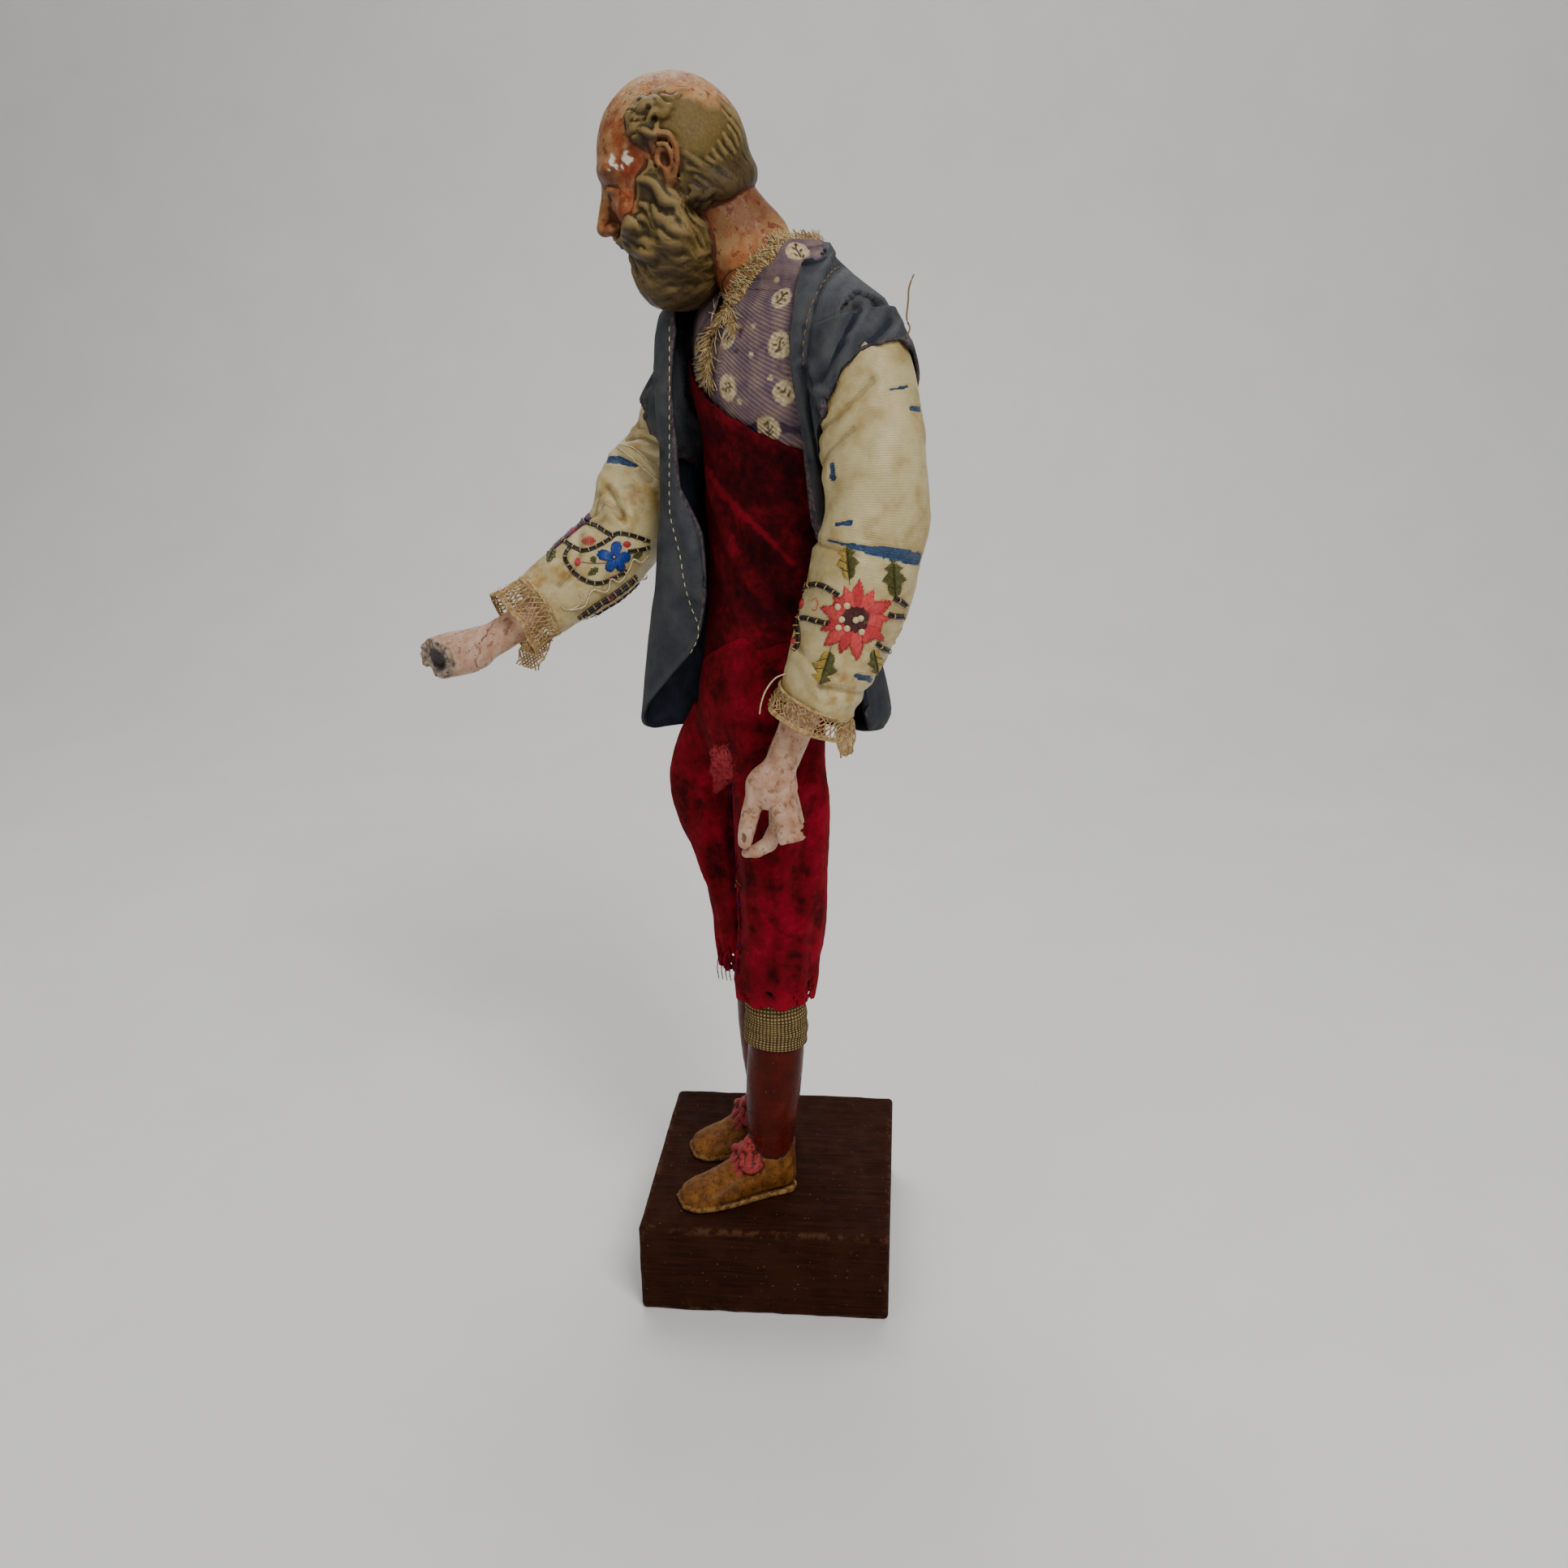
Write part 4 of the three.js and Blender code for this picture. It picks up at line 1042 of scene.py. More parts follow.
ARMS = {
    "left": [
        (44.5, 18.2, 191, 11.4, 11.8), (45, 22, 199.5, 12, 13), (45, 27.4, 213, 13, 15),
        (44, 32.2, 229, 14.6, 16.2), (42.5, 35.5, 246, 15, 15.6), (40, 35.5, 264, 14.8, 15.4),
        (37, 34, 279, 14, 14.6), (35, 32, 292, 12.8, 13.2), (32.4, 29.6, 302, 8.6, 9),
    ],
    "right": [
        (-4, -79.6, 209.6, 10.6, 11), (-9, -72, 214.4, 12.2, 12.8), (-16, -61, 222.6, 13.6, 14.4),
        (-22.5, -50.5, 235, 14.2, 14.8), (-27, -42, 251, 13.6, 14), (-29.5, -33, 270, 12.8, 13.2),
        (-30, -25.4, 285, 11.8, 12.2), (-28.5, -21.5, 296, 9.6, 10), (-27, -19, 302, 6, 6.4),
    ],
}
ARM_HEADING = {"left": 20, "right": 40}


def away_from(points, line):
    """Distance from points to a line of points."""
    flat = points.reshape(-1, 3)
    return strand(flat, line, np.zeros(len(line))).reshape(points.shape[:-1])


class Surface:
    """Rows and columns of points that close round, which threads and stitches are laid on."""

    def __init__(self, points):
        self.points = points
        skin = grid(points, wrap=True)
        self.normals = skin.normals().reshape(points.shape)
        self.tree = BVHTree.FromPolygons(skin.points.tolist(), skin.faces.tolist())

    def seen(self, px, py):
        """The place, as a row and a column, that the camera sees at a pixel of the photograph."""
        hit = meet(self.tree, (px, py))[0]
        away = np.linalg.norm(self.points - np.array(hit), axis=2)
        row, column = np.unravel_index(np.argmin(away), away.shape)
        row = int(np.clip(row, 1, len(away) - 2))
        down = (self.points[row + 1, column] - self.points[row - 1, column]) / 2
        across = (self.points[row, (column + 1) % away.shape[1]] - self.points[row, column - 1]) / 2
        off = np.array(hit) - self.points[row, column]
        return row + off @ down / (down @ down), column + off @ across / (across @ across)

    def at(self, places, height=0.0):
        """Points above places given as rows and columns."""
        places = np.asarray(places, float)
        rows, columns = self.points.shape[:2]
        r, c = np.clip(places[..., 0], 0, rows - 1.001), places[..., 1]
        i, j = r.astype(int), np.floor(c).astype(int)
        f, g = (r - i)[..., None], (c - j)[..., None]
        both = [v[i, j % columns] * (1 - f) * (1 - g) + v[i + 1, j % columns] * f * (1 - g)
                + v[i, (j + 1) % columns] * (1 - f) * g + v[i + 1, (j + 1) % columns] * f * g
                for v in (self.points, self.normals)]
        return both[0] + unit(both[1]) * np.asarray(height, float)[..., None]

    def trace(self, *pixels):
        """A smooth line on the surface through pixels of the photograph, as rows and columns."""
        places = np.array([self.seen(*pixel) for pixel in pixels])
        places[:, 1] = np.unwrap(places[:, 1], period=self.points.shape[1])
        return curve(places, 14)

    def pressed(self, height):
        return Surface(self.points + self.normals * height[..., None])


def make_sleeve_surface(side):
    rows, around = ((220, 134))
    t = np.linspace(0, 1, rows)
    surface = Surface(loft(ARMS[side], t, around, ARM_HEADING[side]))
    a = round_angles(around)
    t = t[:, None]
    waves = 0.5 * np.sin(24 * t + 1.5 * np.sin(a)) * bump(t - 0.5, 0.22) + 0.35 * np.sin(3 * a + 9 * t)
    slack = 0.28 * np.sin(38 * t + 3 * noise(surface.points, 13, 2)) * bump(t, 0.13)
    surface = surface.pressed(waves + (0.55 * rough(surface.points, 10, 4) + slack))
    for deep, wide, pixels in FOLDS[side]:
        line = surface.at(surface.trace(*pixels))
        away = away_from(surface.points, line)
        surface = surface.pressed(-deep * bump(away, wide) + 0.45 * deep * bump(away - 2.1 * wide, wide))
    return surface


FOLDS = {
    "left": [
        (0.8, 1.5, [(1012, 846), (1042, 853), (1072, 850)]),
        (0.8, 1.4, [(1003, 540), (1032, 512), (1075, 470)]),
        (0.6, 1.6, [(990, 585), (1018, 560), (1050, 530)]),
        (0.5, 1.2, [(1003, 663), (1060, 684), (1131, 690)]),
        (0.5, 1.4, [(985, 800), (1010, 826), (1030, 832)]),
    ],
    "right": [
        (-3.4, 6.5, [(742, 552), (737, 566), (738, 582)]), (1.6, 1.4, [(764, 533), (786, 537), (812, 546)]),
        (1.3, 1.2, [(778, 524), (798, 530), (816, 536)]), (1.1, 1.3, [(740, 610), (728, 622), (716, 634)]),
        (1.5, 1.5, [(747, 603), (756, 616), (765, 631)]),
        (1.0, 1.2, [(722, 628), (745, 622), (770, 640)]),
        (0.9, 1.5, [(760, 560), (780, 574), (800, 590)]),
        (0.7, 1.3, [(690, 720), (712, 690), (716, 660)]),
    ],
}


# Jacket: a sheet from its right front edge round the back to its left front edge, with caps on the arms

JACKET_HEM, JACKET_TOP = 165, 324
JACKET_RINGS = np.array([
    (150, 35.5, 33), (168, 35, 32), (190, 32.6, 29.4), (215, 30.4, 25.6), (240, 30, 24.2), (262, 31.6, 24),
    (282, 36.6, 24), (297, 43, 21.8), (303, 45, 20.2), (308, 43, 18.8), (313.5, 34, 16.8), (320, 21.6, 14.8),
    (326, 15.4, 12.8),
])
JACKET_EDGES = np.array([
    (150, -14, 112), (190, -14, 104), (212, -18, 87), (240, -30, 75), (262, -32, 68), (282, -33, 62),
    (298, -33, 60), (306, -36, 62), (313, -50, 64), (320, -66, 68), (328, -76, 76),
])
CAP_ENDS = {
    "left": (np.array([44, 42, 297]), chest_way(0.1, 1.7, -1)),
    "right": (np.array([-35, -40, 276]), chest_way(0.5, -1, -1)),
}
CAP_MERGE = 12.0  # units within which the sheet and its caps lift to meet


def by_height(table, z):
    return [np.interp(z, table[:, 0], table[:, k]) for k in (1, 2)]


def turn_between(angle, other):
    return np.radians((angle - other + 180) % 360 - 180)


def jacket_reach(angle, z):
    """Reach of the cloth from the chest's middle line, by the angle in degrees to the left of its front."""
    half, deep = by_height(JACKET_RINGS, z)
    a = np.radians(angle)
    base = 1 / np.hypot(np.sin(a) / half, np.cos(a) / deep)
    swing = ramp(z, 321, 303) * (12.8 + 4 * ramp(z, 270, 180))
    fold = swing * bump(turn_between(angle, -47), np.radians(23))
    waves = 1.6 * np.sin(5 * a + 0.6) + 3.4 * bump(turn_between(angle, 145), np.radians(34))
    curl = 6 * ramp(z, 178, 165) ** 2 * ramp(angle, -120, -160)
    return base + fold + ramp(z, 250, 170) * waves - curl


def jacket_sheet(s, v):
    """Points of the cloth at shares s along its hem, from right to left, and v up from the hem."""
    level = JACKET_HEM + (JACKET_TOP - JACKET_HEM) * (1 - (1 - v) ** 1.6)
    right, left = by_height(JACKET_EDGES, level)
    angle = right + s * (left - 360 - right)
    lift = 34 * ramp(angle, -58, -14) + 8 * ramp(angle, -190, -240)
    dip = 7 * (ramp(angle, -120, -70) + ramp(angle, -240, -290))
    corner = np.clip(10 - np.minimum(s, 1 - s) * 230, 0, 10)
    z = level + lift * (1 - v) ** 2 - dip * v**4 + (10 - np.sqrt(100.1 - corner**2)) * (1 - v) ** 5
    reach = jacket_reach(angle, z)
    a = np.radians(angle)
    return by_chest(reach * np.cos(a), reach * np.sin(a), z)


def outside_jacket(p):
    """Distance from the jacket's outside, and less than 0 inside it."""
    front, left = chest_places(p)
    return np.hypot(front, left) - jacket_reach(np.degrees(np.arctan2(left, front)), p[..., 2])


def outside_arm(p, side, grow):
    rings = np.array(ARMS[side][3:])
    radii = (rings[:, 3] + rings[:, 4]) / 2 + grow
    return strand(p.reshape(-1, 3), rings[:, :3], radii).reshape(p.shape[:-1])


def merging(away):
    """How far cloth lifts at that distance from another part of it, so that the two meet softly."""
    return np.clip(CAP_MERGE - away, 0, CAP_MERGE) ** 2 / (4 * CAP_MERGE) * (away > -3)


def make_jacket():
    rows, columns = ((96, 204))
    along = np.linspace(1, 0, columns)
    s, v = np.meshgrid(along - 0.09 * np.sin(2 * np.pi * along), np.linspace(0, 1, rows))
    points = jacket_sheet(s, v)
    front, left = chest_places(points)
    z = points[..., 2]
    out = unit(chest_way(front, left, 0))
    soft = 0.55 * rough(points * (1, 1, 0.5), 16, 2) * (0.4 + ramp(z, 280, 200))
    points = points + out * soft[..., None]
    for side in ARMS:
        points = points + out * merging(outside_arm(points, side, 1.6))[..., None]
    sheet = shell(points, 1.3)
    edge = np.minimum(s, 1 - s) * columns * 1.1
    sheet.marks["edge"] = np.tile(ramp(edge, 1.6, 0.2).ravel(), 2)
    parts = [sheet]
    for side in ARMS:
        rings = np.array(ARMS[side][3:])
        t = np.linspace(0, 1, 100)
        dense = loft(rings, t, 140, ARM_HEADING[side], 1.7)
        low = crossing(beyond(dense, CAP_ENDS[side]))
        frayed = rough(between(dense, low, low, 2)[0], 4, 3)
        cap = between(dense, low + 0.012 * frayed, np.ones(dense.shape[1]), 46)
        normals = grid(cap, wrap=True).normals().reshape(cap.shape)
        lift = merging(outside_jacket(cap)) + 0.35 * rough(cap, 9, 5)
        part = shell(cap + normals * lift[..., None], 1.1, wrap=True)
        row = np.repeat(np.arange(len(cap)), cap.shape[1])
        part.marks["edge"] = np.tile(ramp(row, 1.9, 0.5), 2)
        parts.append(part)
    skin = joined(*parts)
    normals = skin.normals()
    band = strand(camera_pixels(skin.points), *zip(*LAPEL)) + 0.6 * noise(skin.points, 3, 3)
    raised = 1.1 * ramp(band, 1.5, -1.5) * faces_camera(skin.points, normals)
    skin.pushed(raised - crease_depths(skin.points, normals, JACKET_CREASES))
    back = ramp(chest_places(skin.points)[0], 5, -15)
    skin.marks["shade"] = np.clip(ramp(skin.points[:, 2], 250, 175) * (0.55 + 0.45 * back), 0, 1)
    return skin.mark_hollows(8)


LAPEL = [
    ((1022, 300), 13), ((1002, 332), 15), ((988, 372), 14), ((982, 430), 12),
    ((985, 500), 11), ((994, 560), 11), ((1005, 620), 12), ((1012, 655), 13),
]


JACKET_CREASES = [
    (1.5, 6, [(1056, 380), (1045, 400), (1034, 418), (1020, 448), (1010, 470)]),
    (1.8, 7, [(1098, 396), (1084, 410), (1066, 425), (1049, 448), (1034, 472), (1020, 490)]),
    (1.6, 5, [(992, 455), (998, 480), (1005, 510), (1012, 545), (1015, 590), (1018, 640)]),
    (0.8, 6, [(1038, 425), (1030, 450), (1024, 474)]),
    (0.6, 5, [(1034, 330), (1012, 352), (1000, 376), (994, 398), (990, 425), (990, 450)]),
    (0.7, 7, [(1115, 408), (1100, 420), (1085, 440)]),
    (1.0, 8, [(800, 470), (790, 520), (808, 560)]),
    (0.6, 6, [(838, 560), (846, 610), (858, 660), (868, 720)]),
]


# Legs and shoes

LEGS = {
    "left": dict(at=(17.4, 0.2), turn_out=25, toe=34, knee=(16.5, 2.5)),
    "right": dict(at=(-13, -2.6), turn_out=22, toe=31, knee=(-14, -5)),
}
SHOE = np.array([
    (-0.22, 6.5, 4, 5), (-0.17, 8, 7, 8.6), (0.06, 8.4, 8.2, 9.6), (0.3, 6.4, 8.2, 8.8), (0.56, 3, 9, 7.4),
    (0.8, 2, 8.8, 5.8), (0.94, 1.6, 6.8, 4.6), (1, 1.2, 3.4, 2.6),
])
SOLE_OUTLINE = np.array([(-0.25, 4.4), (-0.17, 8), (0.15, 8.6), (0.6, 9.9), (0.9, 8.6), (1.03, 4.4)])
SOLE_THICK = 2.0


def shank_rings(leg):
    (x, y), (kx, ky) = leg["at"], leg["knee"]
    return [(x, y, 5, 7.4, 7.8), (x, y, 19, 7.5, 8.2), ((x + kx) / 2, (y + ky) / 2, 40, 9.2, 9.8),
            (kx, ky, 58, 9.5, 9.9), (kx, ky, 90, 8.6, 9)]


def by_foot(p, leg):
    """How far each point is ahead of the ankle, to its left, and up."""
    s, c = np.sin(np.radians(leg["turn_out"])), np.cos(np.radians(leg["turn_out"]))
    x, y = p[..., 0] - leg["at"][0], p[..., 1] - leg["at"][1]
    return x * s - y * c, x * c + y * s, p[..., 2]


def shoe_form(p, leg):
    ahead, aside, z = by_foot(p, leg)
    shoe = [(0, middle, share * leg["toe"], half, tall) for share, middle, half, tall in SHOE]
    d = column(np.stack([aside, z, ahead], -1), shoe)
    heel, tip = SOLE_OUTLINE[[0, -1], 0] * leg["toe"]
    share = np.interp(ahead / leg["toe"], SOLE_OUTLINE[:, 0], np.linspace(0, 1, 6))
    half = through(SOLE_OUTLINE, share)[..., 1]
    long = np.maximum(heel - ahead, ahead - tip)
    return d, np.max(np.stack([np.abs(aside) - half, long, z - SOLE_THICK]), axis=0)


TIE_LOOPS = [
    ((9.6, 5.4, 15), 80, 40, (4.6, 4.4, 1.7)), ((9.8, -4.8, 15.6), -80, 30, (4.2, 3.8, 1.6)),
    ((12.6, 3, 12.6), 25, 50, (4.2, 3, 1.5)), ((12.4, -2.8, 13), -25, 50, (4, 2.8, 1.5)),
    ((9.4, 1.6, 18.4), 60, -30, (3.2, 3, 1.5)),
]


def tie_form(p, leg):
    ahead, aside, z = by_foot(p, leg)
    q = np.stack([ahead, aside, z], -1)
    knot = (10, 0.4, 16.4), (2.8, 2.2, 2.6)
    d = shaped(q, (0, *knot), (1.5, [(7.4, 0, 19), (9.4, 0.6, 17)], [3.2, 2.6]))
    for middle, heading, lift, radii in TIE_LOOPS:
        own = (q - middle) @ turned("Z", np.radians(heading)) @ turned("Y", np.radians(lift))
        fold = 0.35 * np.sin(1.9 * own[..., 1] + 0.5 * own[..., 0])
        d = blend(d, ellipsoid(own + fold[..., None] * (0, 0, 1), (0, 0, 0), radii), 0.35)
    return d


def leg_form(p, leg):
    shoe, sole = shoe_form(p, leg)
    shank = column(p, shank_rings(leg)) - 0.12 * rough(p * (1, 1, 0.5), 5, 3)
    ahead, _, z = by_foot(p, leg)
    top = 15.4 + 3.2 * ramp(ahead, 0, -8) + 1.5 * ramp(ahead, 2, 9)
    collar = np.maximum(column(p, shank_rings(leg), 0, 0.9), z - top)
    shoe = blend(shoe, collar, 2.2) - 0.14 * rough(p, 3.4, 6)
    seam = np.abs(ahead - 5.5 - 0.1 * z) - 0.25
    shoe = carve(shoe, np.maximum(seam, -shoe - 0.35), 0.2)
    d = blend(blend(shank, shoe, 0.5), sole, 0.35)
    return np.maximum(blend(d, tie_form(p, leg), 0.6), 0.3 - z)


def make_leg(side):
    leg = LEGS[side]
    x, y = leg["at"]
    low, high = (x - 22, y - 38, -1), (x + 26, y + 14, 92)
    skin = skin_of(lambda p: leg_form(p, leg), low, high, 0.75)
    z = skin.points[:, 2]
    skin.marks["tie"] = ramp(tie_form(skin.points, leg), 0.55, 0.2)
    skin.marks["shoe"] = ramp(column(skin.points, shank_rings(leg)), 0.25, 0.6) * (z < 24)
    skin.marks["sole"] = ramp(z, SOLE_THICK + 0.5, SOLE_THICK + 0.1)
    return skin.mark_hollows(5)


# Knitted band

def make_knee_band():
    x, y = LEGS["left"]["knee"]
    rings = [(x + 0.1, y - 0.3, 60.2, 9.9, 10.3), (x, y, 66, 10.1, 10.5), (x, y, 71, 9.7, 10.1),
             (x, y, 80, 9.3, 9.7)]
    rows, around = 64, 220
    t = np.linspace(0, 1, rows)
    points = loft(rings, t, around, 0, 0.75)
    a = round_angles(around)
    fold = 0.45 * np.sin(20 * t[:, None] + 2 * np.sin(a)) + 0.5 * rough(points * (0.6, 0.6, 1.6), 5, 6)
    stitch = 0.16 * np.abs(np.sin(a * 34)) * np.abs(np.sin(t[:, None] * 46 + a * 0.4))
    out = unit((points - (x, y, 0)) * (1, 1, 0))
    return hemmed(points + out * (fold * 0.5 + stitch)[..., None], 0.8).mark_hollows(3)


# Hands

def left_hand_form(p):
    d = shaped(p, *LEFT_HAND)
    for at, way in (((47.6, 11.4, 146.4), (-0.1, -0.25, 1)), ((42.2, 12.6, 150.4), (0, -0.2, 1))):
        broken = (np.asarray(at) - p) @ unit(way) + 0.25 * rough(p, 1.6, 4)
        close = np.linalg.norm(p - at, axis=-1) < 6.5
        d = np.where(close, np.maximum(d, broken), d)
    nail = (48.6, -4.4, 147.2), (1.2, 1.4, 2.1)
    return shaped(p, (-0.3, *nail), d=d) - 0.1 * rough(p, 2.6, 3)


LEFT_HAND = [
    # Wrist and palm
    (0, [(45.4, 3.4, 161), (45.1, 5.6, 167), (44.7, 8.6, 173.5), (44.4, 11.6, 181), (44.4, 16, 192),
         (44.4, 19.4, 202)], [3.6, 4.4, 5.2, 5.3, 6.1, 6.4]),
    (3, (45.6, 4.6, 164), (4.2, 8.2, 7.4)),
    # Fingers, from the pointing one on, and the thumb
    (0.9, [(46.2, -4, 145.4), (46.1, -3.2, 150), (45.8, -1.8, 156), (45.4, 0.6, 164)], [2.3, 2.8, 3, 3.4]),
    (0.9, [(47.8, 9.6, 147), (47.4, 8.6, 152), (46.4, 7.2, 158), (45.4, 6.6, 166)], [2.8, 3, 3.1, 3.6]),
    (0.9, [(47.2, 13, 147.2), (46.8, 11.4, 152.4), (45.8, 9.2, 159), (45, 8.4, 166)], [2.8, 2.9, 3, 3.4]),
    (0.9, [(42.3, 12.4, 151.2), (42.9, 10.8, 157.6), (43.8, 8.6, 166)], [2.2, 2.5, 3]),
    (1.2, [(42.5, -4, 140.2), (42.4, -0.8, 141), (42, 3.2, 143.2), (41.8, 6, 149), (42.4, 6.3, 157),
           (43.4, 6, 165)], [1.6, 2.3, 2.6, 2.7, 3.1, 3.4]),
]
HAND_BREAK = np.array([8.4, -112.6, 195]), np.array([0.8, -0.56, -0.2])
HAND_HOLLOW = 11.5, -113, 194.2


def right_hand_form(p):
    d = shaped(p, *RIGHT_HAND)
    d = np.maximum(d, beyond(p, HAND_BREAK) + 0.9 * rough(p, 4, 6) + 0.3 * noise(p, 1.4, 7))
    hollow = ellipsoid(p, HAND_HOLLOW, (4.4, 5, 3.8)) + 0.5 * rough(p, 2, 8)
    crack = np.abs((p - (2, -93, 206)) @ unit((0.2, 1, -0.25)) + 0.8 * noise(p, 3, 2)) - 0.25
    crack = np.maximum(crack, -d - 0.7)
    return carve(carve(d, hollow, 0.6), crack, 0.2) - 0.1 * rough(p, 2.6, 3)


RIGHT_HAND = [
    # Wrist and palm
    (0, [(12, -125, 192.6), (8.5, -111, 194.4), (5.6, -102.5, 196), (2, -93, 200.2), (-1, -85.5, 204.6),
         (-5, -78.5, 209.4), (-8.4, -73.2, 213.4)], [5.7, 6.4, 6.3, 5.7, 5.5, 5.9, 6.1]),
    (3, (5.6, -106, 195.4), (6.2, 12, 6.4)),
    # Knuckles of two fingers
    (1.6, [(3, -97, 202), (5.6, -108, 200.4), (7.6, -114, 198.6)], [2.4, 2.4, 2.2]),
    (1.8, [(4, -98, 194), (8, -110, 190.6)], [3, 2.6]),
]


def make_hand(side):
    box = {"left": ((35, -12, 136), (54, 28, 206)), "right": ((-18, -126, 183), (22, -66, 223))}[side]
    form = {"left": left_hand_form, "right": right_hand_form}[side]
    skin = skin_of(form, *box, 0.52)
    skin.mark_hollows(6)
    if side == "right":
        away = beyond(skin.points, HAND_BREAK)
        skin.marks["broken"] = ramp(away, -1.5, -0.4)
        skin.marks["cavity"] = ramp(ellipsoid(skin.points, HAND_HOLLOW, (4.8, 5.4, 4.2)), 0.7, 0.1)
    else:
        ends = [np.linalg.norm(skin.points - at, axis=1) for at in ((47.6, 11.4, 146.2), (42.2, 12.6, 150.2))]
        skin.marks["broken"] = ramp(np.min(ends, axis=0), 3, 2) * (skin.normals()[:, 2] < -0.6)
    return skin


# Lace cuffs: a net of threads with a dense edge, on a band that stands out past the sleeve's end

CUFFS = {
    "left": dict(long=6.4, wider=0.9, tail=(39.5, 27.5, 178.5), drop=12, half=3.1, turn=35, tip=6),
    "right": dict(long=10, wider=1.2, tail=(-1.5, -81, 195.5), drop=13, half=4.5, turn=20, tip=-22),
}


def cuff_surface(side):
    """The cuff as rows from the sleeve's end to the lace's edge."""
    cuff = CUFFS[side]
    end, after = (np.array(r[:3]) for r in ARMS[side][:2])
    way = unit(end - after)
    half, deep = ARMS[side][0][3:]
    steps = [(-1.6, 0.5), (0.2, 0.4), (cuff["long"] * 0.5, 0.2), (cuff["long"], cuff["wider"])]
    rings = [(*(end + way * far), half + wide, deep + wide) for far, wide in steps]
    points = loft(rings, np.linspace(0, 1, 40), 120, ARM_HEADING[side])
    a = round_angles(120)
    frill = 0.7 * np.sin(6 * a) * np.linspace(0, 1, 40)[:, None] ** 2 + 0.35 * rough(points, 4, 3)
    return Surface(points).pressed(frill)


def make_cuff(side):
    surface = cuff_surface(side)
    rows, columns = surface.points.shape[:2]
    dice = np.random.default_rng(5 if side == "left" else 6)
    # Meshes of the net run slantwise both ways, and the edges are dense cords.
    lines = []
    each_way = 40
    for lean in (-1, 1):
        for k in range(each_way):
            share = np.linspace(0, 1, 14)
            column = columns / each_way * (k + 3.4 * lean * share + 0.25 * np.sin(9 * share + k))
            row = 2 + (rows - 4) * share
            lines.append(surface.at(np.stack([row, column], -1), 0.12 * np.sin(14 * share + lean)))
    edges = []
    cords = ((1, 0.1, 0), (3, 0.25, 0.3), (rows - 5, 0.1, 0.8), (rows - 3, 0.2, 1.2), (rows - 1.2, 0.1, 1.8))
    for row, lift, wave in cords:
        for part in range(4):
            a = np.linspace(part, part + 1.02, 46) / 4 * columns
            scallop = row + wave * np.abs(np.sin(a / columns * np.pi * 22)) + dice.normal(0, 0.15, 46)
            edges.append(surface.at(np.stack([scallop, a], -1), lift + 0.08 * np.sin(a * 2.2)))
    tail, fluff = make_cuff_tail(side, dice), make_fluff(surface, dice)
    return joined(threads(lines, 0.25, 4), threads(edges, 0.34, 5), tail, fluff)


def make_cuff_tail(side, dice):
    """A torn strip of the net that hangs below the cuff."""
    cuff = CUFFS[side]
    turn = turned("Z", np.radians(cuff["turn"])) @ turned("X", np.radians(cuff["tip"]))
    lines = []
    for lean in (-1, 1):
        for k in np.linspace(-1.9, 1.9, 17):
            s = np.linspace(-1, 1, 12)
            across = k + 0.9 * lean * s
            keep = np.abs(across) < 1 - 0.25 * (s < -0.4)
            if keep.sum() < 3:
                continue
            across, s = across[keep], s[keep]
            flat = np.stack([0.5 * np.sin(2.5 * s + k), across * cuff["half"], s * cuff["drop"] / 2], -1)
            lines.append(evenly(flat + dice.normal(0, 0.12, flat.shape), 9) @ turn.T + cuff["tail"])
    for edge in (-1, 1):
        s = np.linspace(-1, 1, 12)
        across = edge * (1 - 0.2 * (s < -0.4))
        flat = np.stack([0.5 * np.sin(2.5 * s + edge), across * cuff["half"], s * cuff["drop"] / 2], -1)
        lines.append(evenly(flat + dice.normal(0, 0.2, flat.shape), 9) @ turn.T + cuff["tail"])
    return threads(lines, 0.3, 4)


def make_fluff(surface, dice):
    """Short broken threads that stand out of the lace."""
    count = 130
    rows, columns = surface.points.shape[:2]
    at = np.stack([dice.uniform(0.45, 1, count) * (rows - 2), dice.uniform(0, columns, count)], -1)
    out = dice.uniform(0.3, 1.4, count)
    share = np.linspace(0, 1, 5)
    drift = dice.normal(0, 2.2, (count, 1, 2)) * share[:, None] * (1, 1.4)
    places = at[:, None] + drift
    return threads(surface.at(places, out[:, None] * np.sin(share * np.pi * 0.8)), 0.12, 3, 0.4)


# Block

def make_block():
    low, high = (np.array(c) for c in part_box("base_block"))
    half = (high - low) / 2 / UNIT
    middle = to_units((low + high) / 2)
    counts = [78, 72, 42]
    parts = []
    for axis in range(3):
        for sign in (-1, 1):
            u, v = [k for k in range(3) if k != axis]
            a = np.sin(np.linspace(-1, 1, counts[u]) * np.pi / 2) * half[u]
            b = np.sin(np.linspace(-1, 1, counts[v]) * np.pi / 2) * half[v]
            aa, bb = np.meshgrid(a, b)
            p = np.zeros(aa.shape + (3,))
            p[..., u], p[..., v], p[..., axis] = aa, bb, sign * half[axis]
            flip = (sign < 0) != (axis == 1)
            parts.append(grid(p[:, ::-1] if flip else p))
    skin = joined(*parts)
    p = skin.points
    worn = 1.5 + 0.7 * rough(p, 9, 4)
    core = np.clip(p, -half + worn[:, None], half - worn[:, None])
    away = unit(p - core)
    skin.points = core + away * np.minimum(worn, np.linalg.norm(p - core, axis=1).max())[:, None]
    flat = np.linalg.norm(p - core, axis=1) < 1e-6
    skin.points[flat] = p[flat]
    edge = np.sort(half - np.abs(p), axis=1)[:, 1]
    skin.marks["edge"] = ramp(edge + 0.8 * rough(p, 4, 2), 2.6, 0.4)
    skin.points = skin.points + middle
    return skin


# Threads and stitches, laid along lines that the camera sees in the photograph

